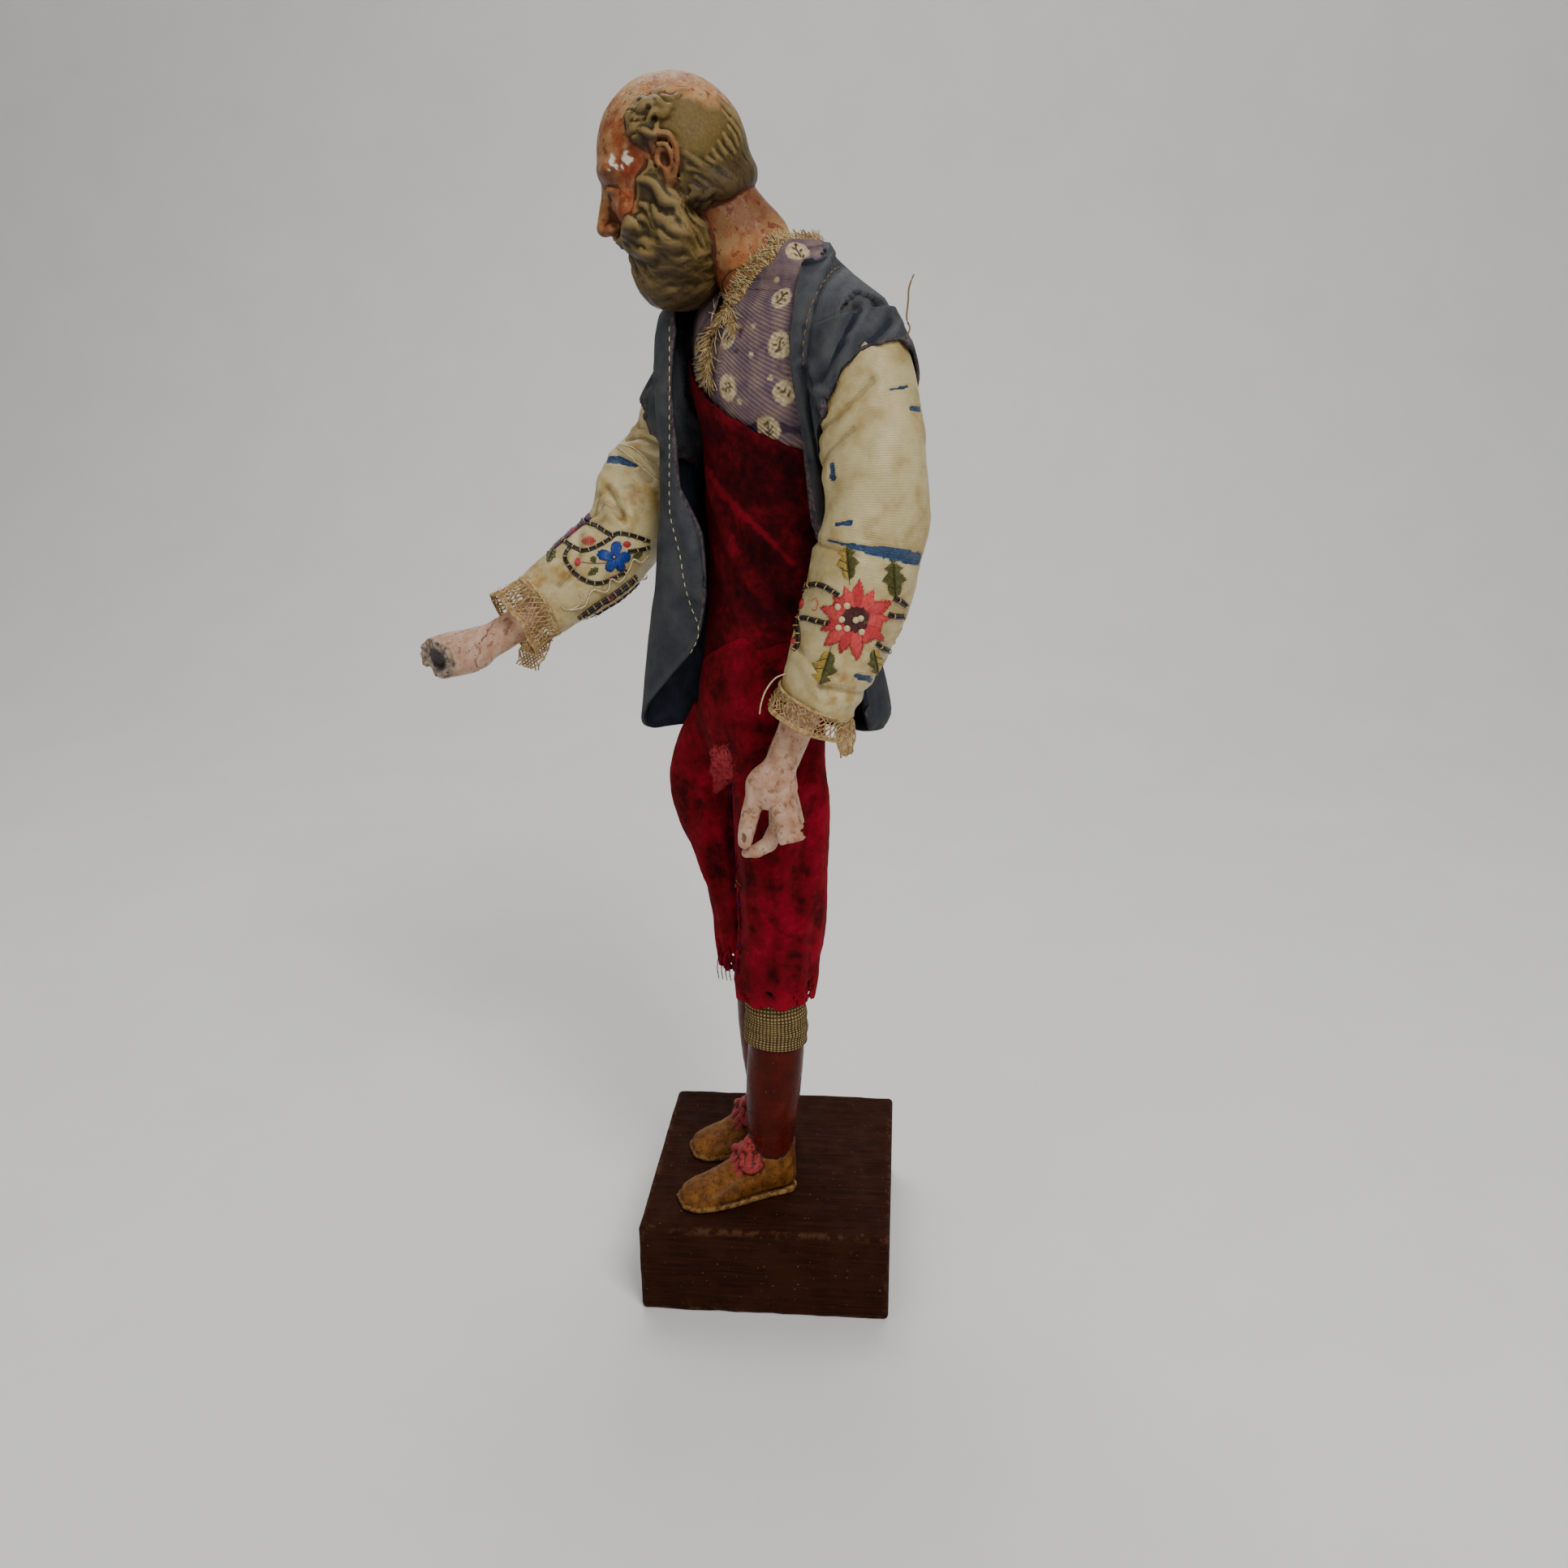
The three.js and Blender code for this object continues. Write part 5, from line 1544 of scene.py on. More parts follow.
DYES = [
    (200, 50, 54), (216, 74, 70), (74, 16, 16), (214, 192, 144), (92, 92, 34), (190, 158, 66), (18, 62, 150),
    (34, 28, 28), (190, 150, 86), (82, 26, 84), (150, 118, 76), (218, 202, 160), (70, 60, 26), (60, 12, 30),
]
(CORAL, PINK, MAROON, BEAD, GREEN, YELLOW, BLUE,
 BLACK, GOLD, PURPLE, BROWN, CREAM, VEIN, DUSK) = range(len(DYES))


LONGEST_STEP = 14  # units from one point of a thread to the next, else it has left its ground


class Ground:
    """Skins that threads are laid on."""

    def __init__(self, *skins):
        skin = joined(*skins)
        self.tree = BVHTree.FromPolygons(skin.points.tolist(), skin.faces.tolist())

    def seen(self, pixels):
        """The points and ways out that the camera sees at pixels, or the nearest ones beside them."""
        found = []
        for pixel in np.reshape(pixels, (-1, 2)):
            at, out = meet(self.tree, pixel)
            found.append((*at, *out))
        return np.reshape(found, np.shape(pixels)[:-1] + (6,))

    def near(self, points):
        found = [self.tree.find_nearest(Vector(p))[:2] for p in np.reshape(points, (-1, 3))]
        return np.reshape([(*at, *out) for at, out in found], np.shape(points)[:-1] + (6,))

class Sewing:
    """Threads of several dyes on one ground, also repeated on the far side of an arm."""

    def __init__(self, ground, side=None):
        self.ground, self.side, self.skins = ground, side, []

    def add(self, dye, lines, radius, heights=0.0, sides=4, tips=0.6):
        """lines are (N, K, 2) pixels, or (N, K, 3) points."""
        lines = np.asarray(lines, float)
        found = self.ground.seen(lines) if lines.shape[-1] == 2 else self.ground.near(lines)
        steps = np.linalg.norm(np.diff(found[..., :3], axis=1), axis=2)
        whole = steps.max(axis=1) < LONGEST_STEP
        if not whole.all():
            lines, found = lines[whole], found[whole]
            heights = np.broadcast_to(heights, (len(whole), found.shape[1]))[whole]
        if not len(lines):
            return
        self.place(dye, found, radius, heights, sides, tips)
        if self.side and lines.shape[-1] == 2:
            axis = curve(np.array(ARMS[self.side])[:, :3], 200)
            flat = found[..., :3].reshape(-1, 3)
            nearest = axis[np.argmin(np.linalg.norm(flat[:, None] - axis, axis=2), axis=1)]
            far = self.ground.near((2 * nearest - flat).reshape(found.shape[:-1] + (3,)))
            steps = np.linalg.norm(np.diff(far[..., :3], axis=1), axis=2)
            facing = np.sum(far[..., 3:] * unit(to_units(CAMERA_AT) - far[..., :3]), -1)
            out_of_sight = facing.max(axis=1) < -0.1
            keep = out_of_sight & (steps.max(axis=1) < 3 * np.median(steps, axis=1) + 0.3)
            heights = np.broadcast_to(heights, found.shape[:-1])[keep]
            if keep.any():
                self.place(dye, far[keep], radius, heights, sides, tips)

    def place(self, dye, found, radius, heights, sides, tips):
        at = found[..., :3] + found[..., 3:] * np.broadcast_to(heights, found.shape[:-1])[..., None]
        self.skins.append(threads(at, radius, sides, tips).dyed(dye))

    def satin(self, dye, starts, ends, radius, rise):
        """Threads side by side from starts to ends, in pixels."""
        count = 6
        share = np.linspace(0, 1, count)[:, None]
        lines = np.asarray(starts)[:, None] * (1 - share) + np.asarray(ends)[:, None] * share
        self.add(dye, lines, radius, rise * np.sin(np.pi * np.linspace(0.08, 0.92, count)) + 0.05)

    def bead(self, dye, pixel, radius):
        at = self.ground.seen([pixel])[0]
        line = at[:3] + at[3:] * np.array([0.0, 0.3, 0.6, 0.9, 1.2])[:, None] * radius
        self.skins.append(threads(line[None], radius, 8, 0.4).dyed(dye))

    def cord(self, pixels, wide=0.5):
        """Two dark cords side by side, held down by gold stitches."""
        long = np.linalg.norm(np.diff(pixels, axis=0), axis=1).sum()
        count = int(max(long / 2.4, 8))
        line = curve(pixels, count)
        aside = unit(np.gradient(line, axis=0))[:, ::-1] * (1, -1)
        gap = 6.4 * wide
        heights = 0.25 + 0.08 * np.sin(np.arange(count) * 1.7)
        self.add(BLACK, [line + aside * gap * s / 2 for s in (-1, 1)], wide, heights)
        at = np.arange(2, count - 1, 4)
        across = np.linspace(-1, 1, 6)[:, None]
        over = 0.3 + 0.75 * np.cos(across[:, 0] * 1.3)
        self.add(GOLD, line[at, None] + aside[at, None] * gap * across, 0.24, over)

    def leaf(self, base, tip, half, left, right):
        base, tip = np.array(base, float), np.array(tip, float)
        way = tip - base
        aside = unit(way)[::-1] * (1, -1)
        s = np.linspace(0.06, 0.97, 24)
        wide = half * np.sin(np.pi * s**0.8) ** 0.7 * (1.1 - 0.6 * (3 * s % 1))
        middle = base + way * s[:, None]
        for sign, dye in ((-1, left), (1, right)):
            ends = middle + (aside * sign + 0.45 * unit(way)) * wide[:, None]
            self.satin(dye, middle, ends, 0.2, 0.3)
        veins = [base + way * np.linspace(-0.12, 0.9, 7)[:, None]]
        for at, sign in itertools.product((0.25, 0.5), (-1, 1)):
            start = base + way * at
            out = (aside * sign + 0.6 * unit(way)) * half * 0.75
            veins.append(start + out * np.linspace(0, 1, 7)[:, None])
        self.add(VEIN, veins, 0.13, 0.5)

    def dot(self, dye, pixel, half, high, lean=0.0):
        """A small spot of satin stitch."""
        a = np.linspace(-0.96, 0.96, 9)
        c, s = np.cos(lean), np.sin(lean)
        x, y = a * half, np.sqrt(1 - a * a) * high
        turn = lambda u, v: np.array(pixel) + np.stack([c * u - s * v, s * u + c * v], -1)
        self.satin(dye, turn(x, -y), turn(x, y), 0.2, 0.3)

    def flower(self, pixel, inner, tips, notch, power, dyes, seed):
        """Threads from a ring round the middle out to petals with the given tips."""
        dice = np.random.default_rng(seed)
        off = np.array(tips, float) - pixel
        angles, far = np.arctan2(off[:, 1], off[:, 0]), np.linalg.norm(off, axis=1)
        count = int(far.mean() * 5)
        a = round_angles(count)
        apart = np.abs((a[:, None] - angles + np.pi) % (2 * np.pi) - np.pi) * len(tips) / np.pi
        reach = np.max(far * (1 - (1 - notch) * np.clip(apart, 0, 1) ** power), axis=1)
        reach = reach + 0.04 * far.mean() * dice.uniform(-1, 1, count)
        way = np.stack([np.cos(a), np.sin(a)], -1)
        starts = np.array(pixel) + way * (inner * dice.uniform(0.7, 1.1, count))[:, None]
        ends = np.array(pixel) + way * reach[:, None]
        petal = np.argmin(apart, axis=1) % len(dyes)
        for k, dye in enumerate(dyes):
            self.satin(dye, starts[petal == k], ends[petal == k], 0.21, 0.55)


def crop_of(left, top, zoom):
    """Pixels of the photograph from pixels of an enlarged part of it."""
    return lambda *pixels: [(left + x / zoom, top + y / zoom) for x, y in pixels]


LOWER_LEFT_ARM = crop_of(930, 640, 4)
LOWER_RIGHT_ARM = crop_of(500, 540, 3.4)
CHEST = crop_of(790, 260, 3.4)

TEARS = {
    "left": [
        ([(1016, 665), (1045, 672), (1075, 679), (1105, 683), (1130, 688)], [0.6, 2.6, 6.5, 9, 8]),
        ([(1030, 646), (1048, 644)], [2, 3]),
        ([(1098, 480), (1118, 476)], [1.2, 2.4]),
        ([(1124, 503), (1150, 507)], [3, 4.5]),
        ([(1024, 572), (1026, 588)], [2.5, 4]),
        ([(1054, 833), (1068, 836), (1080, 842)], [2.5, 3.5, 2.5]),
    ],
    "right": [([(750, 566), (766, 567), (784, 574)], [4.5, 5, 2]), ([(787, 600), (789, 601)], [0.6, 0.6])],
}
STAINS = {
    "left": [((1035, 845), 26), ((1060, 800), 16), ((1012, 510), 16), ((990, 700), 14)],
    "right": [((700, 706), 22), ((768, 642), 10), ((745, 600), 10), ((660, 705), 14), ((790, 545), 10)],
}


def torn_sleeve(side, surface):
    """Marks the tears and stains of a sleeve, and lets the silk gape at the tears."""
    at = camera_pixels(surface.points)
    faces_us = faces_camera(surface.points, surface.normals)
    flat = at.reshape(-1, 2)
    gap = np.min([strand(flat, line, size) for line, size in TEARS[side]], axis=0).reshape(at.shape[:-1])
    gap = gap + 1.3 * noise(surface.points, 1.2, 4)
    tear = ramp(gap, 0.8, -0.8) * faces_us
    lip = bump(gap - 2.2, 1.6) * faces_us
    stain = sum(bump(np.linalg.norm(at - spot, axis=-1), size) for spot, size in STAINS[side]) * faces_us
    stain = stain + 0.7 * ramp(noise(surface.points, 17, 5), 0.2, 0.8)
    stain = np.clip(stain + 0.5 * ramp(np.linspace(0, 1, len(at))[:, None], 0.14, 0.02), 0, 1)
    surface = surface.pressed(0.32 * lip - 0.55 * tear)
    skin = grid(surface.points, True, True)
    skin.marks.update(tear=tear.ravel(), stain=stain.ravel())
    return skin.mark_hollows(8)


def sew_left_sleeve(ground):
    sewing = Sewing(ground, "left")
    crop = LOWER_LEFT_ARM
    for line in (
        [(220, 355), (250, 332), (300, 322), (350, 335), (415, 374)],
        [(210, 490), (250, 487), (300, 500), (350, 511), (392, 516)],
        [(226, 345), (213, 420), (206, 500), (216, 560), (214, 612), (190, 645)],
        [(684, 388), (720, 404), (752, 432)], [(658, 466), (690, 478), (742, 480)],
        [(598, 610), (640, 640), (682, 652)],
    ):
        sewing.cord(crop(*line))
    for base, tip, half, left, right in (
        ((468, 302), (450, 128), 13, GREEN, YELLOW), ((692, 388), (682, 205), 14, GREEN, GREEN),
        ((374, 642), (318, 812), 15, YELLOW, GREEN), ((584, 640), (612, 768), 10, GREEN, YELLOW),
    ):
        sewing.leaf(*crop(base, tip), half, left, right)
    centre = crop((496, 492))[0]
    tips = [(1059, 714), (1077, 726), (1100, 740), (1096, 762), (1090, 790), (1056, 815),
            (1034, 806), (1014, 797), (1010, 776), (1010, 748), (1027, 735), (1041, 722)]
    sewing.flower(centre, 12, tips, 0.62, 0.95, (CORAL, PINK), 4)
    sewing.flower(centre, 1, [(1038, 747), (1072, 748), (1070, 776), (1040, 777)], 0.8, 2, (MAROON,), 5)
    beads = (412, 430), (456, 425), (430, 490), (497, 492), (520, 484), (415, 530), (455, 534), (524, 551)
    for bead in crop(*beads):
        sewing.bead(BEAD, bead, 1.05)
    sewing.satin(GREEN, crop((540, 485), (546, 485)), crop((538, 528), (548, 526)), 0.3, 0.6)
    sewing.dot(CORAL, crop((228, 415))[0], 3.6, 7, 0.15)
    sewing.dot(PINK, crop((196, 598))[0], 3, 5)
    sewing.add(PINK, [curve(crop((278, 404), (296, 388), (312, 410), (300, 448), (282, 440)), 14)], 0.14, 0.1)
    cuff_thread = [(968, 830), (955, 836), (944, 850), (938, 866), (936, 880)]
    return sewing.skins + [free_thread(ground, BEAD, 0.25, 2, cuff_thread)]


def sew_right_sleeve(ground):
    sewing = Sewing(ground, "right")
    crop = LOWER_RIGHT_ARM
    for line in (
        [(700, 325), (750, 350), (800, 368), (860, 405), (895, 398), (950, 408), (1022, 432)],
        [(635, 400), (680, 440), (735, 470), (790, 458), (850, 425), (872, 408)],
        [(690, 455), (668, 490), (680, 530), (720, 575), (770, 603), (822, 605), (880, 580), (930, 555)],
        [(1022, 458), (980, 468), (930, 474)],
    ):
        sewing.cord(crop(*line), 0.42)
    for line in (
        [(712, 762), (733, 746), (757, 731), (784, 710)], [(722, 768), (742, 754), (766, 739), (790, 718)],
    ):
        sewing.cord(line, 0.45)
    for pixel, half, high, lean in (
        ((697, 385), 7, 4, -0.3), ((768, 430), 8, 6, 0), ((926, 444), 4.6, 3.8, 0),
        ((720, 519), 3.6, 5, 0), ((858, 668), 5.5, 4.5, 0),
    ):
        sewing.dot(CORAL, crop(pixel)[0], half, high, lean)
    tips = [(761, 667), (777, 686), (768, 703), (749, 704), (736, 682)]
    sewing.flower(crop((872, 500))[0], 2, tips, 0.36, 2.4, (BLUE,), 6)
    sewing.bead(GOLD, crop((872, 498))[0], 0.5)
    sewing.add(BROWN, [curve(crop((738, 520), (790, 524), (842, 522)), 10)], 0.22, 0.2)
    for base, tip, half in (
        ((792, 522), (782, 496), 4), ((764, 572), (806, 544), 4.4), ((950, 500), (990, 476), 4.4),
        ((596, 520), (622, 458), 6),
    ):
        sewing.leaf(*crop(base, tip), half, GREEN, GREEN)
    along = curve([(723, 630), (710, 643), (697, 657), (684, 668), (675, 680)], 40)
    sewing.satin(PURPLE, along - (3, 2), along + (4, 4), 0.24, 0.3)
    zigzag = crop((1012, 488), (984, 517), (950, 505), (930, 548), (893, 598), (856, 588), (838, 640),
                  (780, 634), (744, 700), (688, 718))
    sewing.add(CREAM, [curve(zigzag, 70)], 0.32, 0.6, 5, 1)
    for line in (
        [(762, 551), (776, 562), (791, 574), (812, 593)], [(764, 548), (780, 552), (796, 566), (806, 582)],
    ):
        sewing.add(CREAM, [curve(line, 24)], 0.2, 0.5, 5)
    end = crop((722, 648), (735, 668), (724, 694), (700, 712), (668, 716), (650, 700))
    sewing.add(CREAM, [curve(end, 20)], 0.26, 0.4, 5)
    return sewing.skins


# Jacket stitches, loose threads and fringes

def dashes(ground, pixels, dye):
    """A running stitch along a line of pixels."""
    dash, gap = 1.7, 1.3
    line = ground.seen(curve(pixels, 160))[:, :3]
    far = np.r_[0, np.cumsum(np.linalg.norm(np.diff(line, axis=0), axis=1))]
    starts = np.arange(0.5, far[-1] - dash, dash + gap)
    at = starts[:, None] + np.linspace(0, dash, 5)
    lines = np.stack([np.interp(at, far, line[:, k]) for k in range(3)], -1)
    sewing = Sewing(ground)
    sewing.add(dye, lines, 0.17, 0.12 * np.array([-0.6, 1, 1.4, 1, -0.6]), 4, 0.7)
    return sewing.skins


JACKET_STITCHES = [
    (CREAM, [(825, 400), (825, 480), (825, 552), (825, 613), (827, 640), (838, 684), (843, 716),
             (851, 746), (860, 769), (859, 787), (847, 811)]),
    (BROWN, [(1034, 329), (1024, 336), (1009, 357), (1000, 376), (994, 398), (990, 425), (990, 452)]),
]
LOOSE_THREADS = [
    (BROWN, 0.3, 4, [(1116, 418), (1121, 404), (1117, 392), (1119, 370), (1120, 354), (1126, 338)]),
    (BROWN, 0.2, 2, [(989, 300), (987, 290), (990, 283), (994, 291), (996, 301)]),
]


def free_thread(ground, dye, radius, toward, pixels):
    """A thread that starts in the cloth and stands up through some pixels, at last nearer the camera."""
    eye = to_units(CAMERA_AT)
    far = np.linalg.norm(ground.seen([pixels[0]])[0, :3] - eye)
    steps = [far - toward * k / (len(pixels) - 1) for k in range(len(pixels))]
    line = curve([eye + sight(*pixel) * step for pixel, step in zip(pixels, steps)], 20)
    return threads(line[None], radius, 5, 0.7).dyed(dye)


def fringe(sewing, pixels, heading, long, count, dyes, seed, radius, lift, spread=0.35):
    """Threads that fray from a line of pixels. They lie on the ground and lift at their tips."""
    dice = np.random.default_rng(seed)
    line = curve(pixels, 200)
    start = line[dice.integers(0, 200, count)] + dice.normal(0, 1.2, (count, 2))
    share = np.linspace(0, 1, 6)
    turn = np.radians(heading) + dice.normal(0, spread, (count, 1)) + dice.normal(0, 0.5, (count, 1)) * share
    size = long * dice.uniform(0.35, 1.15, (count, 1, 1))
    lines = start[:, None] + np.cumsum(np.stack([np.cos(turn), np.sin(turn)], -1) * size / 5, axis=1)
    heights = 0.15 + lift * dice.uniform(0.2, 1, (count, 1)) * share**1.3
    for k, dye in enumerate(dyes):
        sewing.add(dye, lines[k::len(dyes)], radius, heights[k::len(dyes)], 3, 0.5)


# Shirt: roundels with leaves, printed in cream on the violet cloth, and the frayed neck

ROUNDELS = [
    (983, 310, 3.6), (963, 367, 3.2), (897, 416, 3.3), (858, 427, 3.0), (960, 425, 3.9), (896, 478, 4.0),
    (966, 484, 3.4), (947, 528, 4.0),
]
SPECKS = [(957, 345), (928, 402), (925, 437), (949, 466), (911, 495), (875, 470)]
LEAVES = [(0.9, 0.9, 0.7), (-1.0, 0.3, -0.7), (0.9, -0.9, 0.7), (-0.9, -1.4, -0.7), (0, 2, 0)]


def print_roundels(skin, ground):
    """Marks the roundels and their leaves, and the same ones on the sides that the camera doesn't see."""
    seen = ground.seen([spot[:2] for spot in ROUNDELS] + SPECKS)[:, :3]
    sizes = np.array([spot[2] for spot in ROUNDELS] + [0.8] * len(SPECKS))
    front, left = chest_places(seen)
    roundel, ink = np.zeros(len(skin.points)), np.zeros(len(skin.points))
    for k, (f, l, z, size) in enumerate(zip(front, left, seen[:, 2], sizes)):
        for way_front, way_left in ((1, 1), (-1, 1), (-1, -1)):
            centre = by_chest(way_front * f, way_left * l, z + (way_front - 1) * 1.5)
            off = skin.points - centre
            away = np.linalg.norm(off, axis=1)
            near = away < 6
            across = unit(np.cross(chest_way(way_front * f, way_left * l, 0), (0, 0, 1)))
            angle = 0.9 * k
            x = off[near] @ across
            y = off[near, 2]
            x, y = np.cos(angle) * x + np.sin(angle) * y, np.cos(angle) * y - np.sin(angle) * x
            edge = away[near] - size + 0.25 * noise(skin.points[near], 0.9, k)
            roundel[near] = np.maximum(roundel[near], ramp(edge, 0.25, -0.15))
            if size < 2:
                continue
            stem = np.maximum(np.abs(x - 0.25 * np.sin(1.5 * y)) - 0.22, np.abs(y) - 0.62 * size)
            leaves = [np.hypot(x - a, (y - b - c * (x - a)) * 1.7) - 0.55 for a, b, c in LEAVES]
            mark = np.min([stem, *leaves], axis=0)
            ink[near] = np.maximum(ink[near], ramp(mark, 0.2, -0.1) * (away[near] < size - 0.4))
    skin.marks.update(roundel=roundel, ink=ink)
    return skin


def edge_threads(points, row, inwards, count, long, dyes, seed, heading):
    """Threads that fray all along one row of a cloth tube's points, out past its edge."""
    dice = np.random.default_rng(seed)
    skin = grid(points, wrap=True)
    out = skin.normals().reshape(points.shape)[row]
    at = dice.integers(0, points.shape[1], count)
    start = points[row][at]
    along = unit(points[row][at] - points[inwards][at])
    aside = np.cross(out[at], along)
    share = np.linspace(0, 1, 6)[None, :, None]
    size = (long * dice.uniform(0.3, 1.2, count))[:, None, None]
    way = along + dice.normal(0, 0.45, (count, 1)) * aside + dice.uniform(-0.1, 0.3, (count, 1)) * out[at]
    bend = dice.normal(0, 0.4, (count, 1)) * aside - dice.uniform(0, heading, (count, 1)) * out[at]
    lines = start[:, None] + size * (way[:, None] * share + bend[:, None] * share**2)
    return [threads(lines[k::len(dyes)], 0.13, 3, 0.5).dyed(dye) for k, dye in enumerate(dyes)]


def fray_shirt(ground):
    sewing = Sewing(ground)
    crop = CHEST
    neck = crop((600, 140), (560, 205), (500, 262), (450, 330), (415, 385), (370, 405))
    fringe(sewing, neck, 222, 19, 360, (BEAD, GOLD, BEAD, BROWN), 3, 0.14, 1.1, 0.35)
    slit = crop((372, 400), (330, 445), (305, 500), (290, 560), (288, 640), (290, 700))
    fringe(sewing, slit, 112, 19, 280, (BEAD, GOLD, BEAD, BROWN), 4, 0.14, 1.0, 0.35)
    fringe(sewing, crop((360, 385), (372, 420), (388, 470)), 80, 16, 60, (BEAD, GOLD), 5, 0.15, 0.8, 0.3)
    thread = crop((572, 150), (500, 200), (440, 232), (378, 252), (345, 290), (342, 325), (372, 395))
    sewing.add(VEIN, [curve(thread, 60)], 0.2, 0.3, 5, 1)
    return sewing.skins


# Breeches: the seam's threads and the frayed hems

def sew_breeches(ground):
    sewing = Sewing(ground)
    seam = [(904, 958), (898, 1003), (906, 1062), (908, 1101), (911, 1153), (908, 1196)]
    for k, heading in enumerate((85, -80, 100)):
        fringe(sewing, seam, heading, 11, 26, (DUSK, PURPLE), 20 + k, 0.2, 0.5, 0.3)
    fringe(sewing, [(905, 1080), (911, 1092)], 60, 9, 3, (GOLD,), 24, 0.2, 0.4)
    flap = [(872, 935), (882, 921), (898, 923), (905, 951), (884, 980)]
    fringe(sewing, flap, 20, 6, 26, (CORAL, DUSK), 25, 0.16, 0.5, 1.2)
    hanging = []
    for k in range(4):
        line = [(886 + 5 * k, 1172 + 2 * k), (884 + 5 * k, 1192 + 2 * k), (886 + 5 * k, 1206 + k)]
        hanging.append(free_thread(ground, DUSK, 0.2, 0, line))
    return sewing.skins + hanging


# Materials of the other pieces

def velvet():
    pile = dict(Sheen_Weight=0.22, Sheen_Roughness=0.4, Sheen_Tint=rgb(200, 24, 40))
    p = Paint("velvet", Roughness=0.95, Specular_IOR_Level=0.1, **pile)
    worn = p.math("ADD", p.times(p.noise(13, 2), 0.6), p.times(p.noise(2.6, 5), 0.4))
    base = p.colours(worn, (0.38, 56, 4, 9), (0.47, 98, 7, 18), (0.55, 120, 9, 26), (0.63, 142, 16, 36))
    base = p.spots(base, 20, 3, 0.5, 0.7, 0.6, (50, 4, 8))
    base = p.spots(base, 0.9, 3, 0.52, 0.7, 0.4, (44, 4, 8))
    # Painted shade in the folds, and worn pile and painted highlight on their ridges.
    base = p.tint(base, "hollow", 0.2, 1.0, 0.4, (34, 3, 6))
    base = p.tint(base, "hollow", -0.4, -1.0, 0.3, (146, 14, 34))
    # The waistcoat is painted darker all over, as painted shade.
    base = p.mix(p.times(p.mark("deep"), p.span(worn, 0.72, 0.4, 0.25, 0.75)), base, (24, 3, 5))
    # Brighter near the breeches' hems and along the waistcoat's streak: worn pile and painted sheen.
    base = p.mix(p.times(p.mark("hem"), 0.6), base, (150, 18, 38))
    base = p.mix(p.mark("flap"), base, p.mottled(1.5, 3, (0.4, 140, 34, 46), (0.6, 180, 66, 70)))
    base = p.mix(p.mark("lining"), base, (52, 10, 16))
    return p.finish(p.sewn(base), 0.95, p.bump(p.noise(0.45, 3), 0.3, p.bump(p.noise(3, 4), 0.3)))


def shirt_cloth():
    p = Paint("shirt_cloth", Roughness=0.9, Specular_IOR_Level=0.15)
    base = p.mottled(6, 4, (0.36, 104, 86, 96), (0.5, 128, 106, 106), (0.64, 146, 124, 112))
    ribs = p.waves(0.85, "Y", 0.8, 0.2)
    base = p.mix(p.span(ribs, 0.45, 0.85, 0, 0.45), base, (76, 60, 74))
    # Painted shade and grime in the folds.
    base = p.tint(base, "hollow", 0.1, 0.9, 0.85, (52, 42, 62))
    cream = p.mottled(1.3, 4, (0.4, 178, 156, 116), (0.6, 214, 196, 158))
    base = p.mix(p.mark("roundel"), base, cream)
    base = p.mix(p.mark("ink"), base, (62, 44, 26))
    base = p.mix(p.mark("lining"), base, (120, 100, 84))
    return p.finish(p.sewn(base), 0.9, p.bump(ribs, 0.2, p.bump(p.noise(0.4), 0.08)))


def sleeve_silk():
    p = Paint("sleeve_silk", Specular_IOR_Level=0.5)
    wide = p.noise(9, 5)
    base = p.colours(wide, (0.34, 208, 192, 142), (0.5, 194, 176, 124), (0.64, 174, 150, 96))
    weft = p.waves(0.55, "Y", 1.5)
    base = p.mix(p.span(weft, 0.5, 0.9, 0, 0.2), base, (150, 128, 82))
    ochre = p.mottled(2.4, 5, (0.38, 190, 160, 92), (0.6, 160, 118, 50))
    base = p.mix(p.times(p.mark("stain"), p.span(p.noise(4.5, 5), 0.38, 0.58)), base, ochre)
    # Painted shade and grime in the creases.
    base = p.tint(base, "hollow", 0.25, 1.0, 0.5, (128, 104, 62))
    base = p.spots(base, 1.1, 2, 0.72, 0.76, 0.7, (104, 84, 60))
    blue = p.mottled(1.2, 3, (0.4, 16, 50, 92), (0.6, 36, 86, 136))
    blue = p.mix(p.span(weft, 0.55, 0.8), blue, (46, 56, 66))
    base = p.tint(base, "tear", 0.35, 0.65, 1, blue)
    relief = p.bump(weft, 0.06, p.bump(p.noise(0.7, 4), 0.1))
    return p.finish(p.sewn(base), p.span(p.noise(4), 0.3, 0.7, 0.34, 0.55), relief)


def jacket_silk():
    p = Paint("jacket_silk", Specular_IOR_Level=0.3)
    base = p.mottled(9, 5, (0.34, 50, 53, 59), (0.5, 65, 68, 72), (0.66, 82, 82, 82))
    weave = p.waves(0.5, "X", 1.0)
    base = p.mix(p.span(weave, 0.5, 0.9, 0, 0.35), base, (40, 43, 51))
    base = p.spots(base, 1.4, 4, 0.6, 0.72, 0.5, (46, 50, 58))
    # Painted shade in the creases, and painted highlight on the ridges.
    base = p.tint(base, "hollow", 0.2, 1.0, 0.6, (26, 28, 36))
    base = p.tint(base, "hollow", -0.4, -1.0, 0.35, (88, 88, 90))
    base = p.mix(p.times(p.mark("shade"), 0.75), base, (28, 32, 40))
    base = p.tint(base, "edge", 0.2, 0.8, 1, p.mottled(1.6, 3, (0.4, 60, 44, 52), (0.6, 96, 84, 84)))
    lining = p.mottled(5, 4, (0.4, 22, 26, 36), (0.6, 36, 42, 56))
    base = p.mix(p.mark("lining"), base, lining)
    relief = p.bump(weave, 0.08, p.bump(p.noise(1.2, 4), 0.14))
    return p.finish(p.sewn(base), p.span(p.noise(5), 0.3, 0.7, 0.6, 0.8), relief)


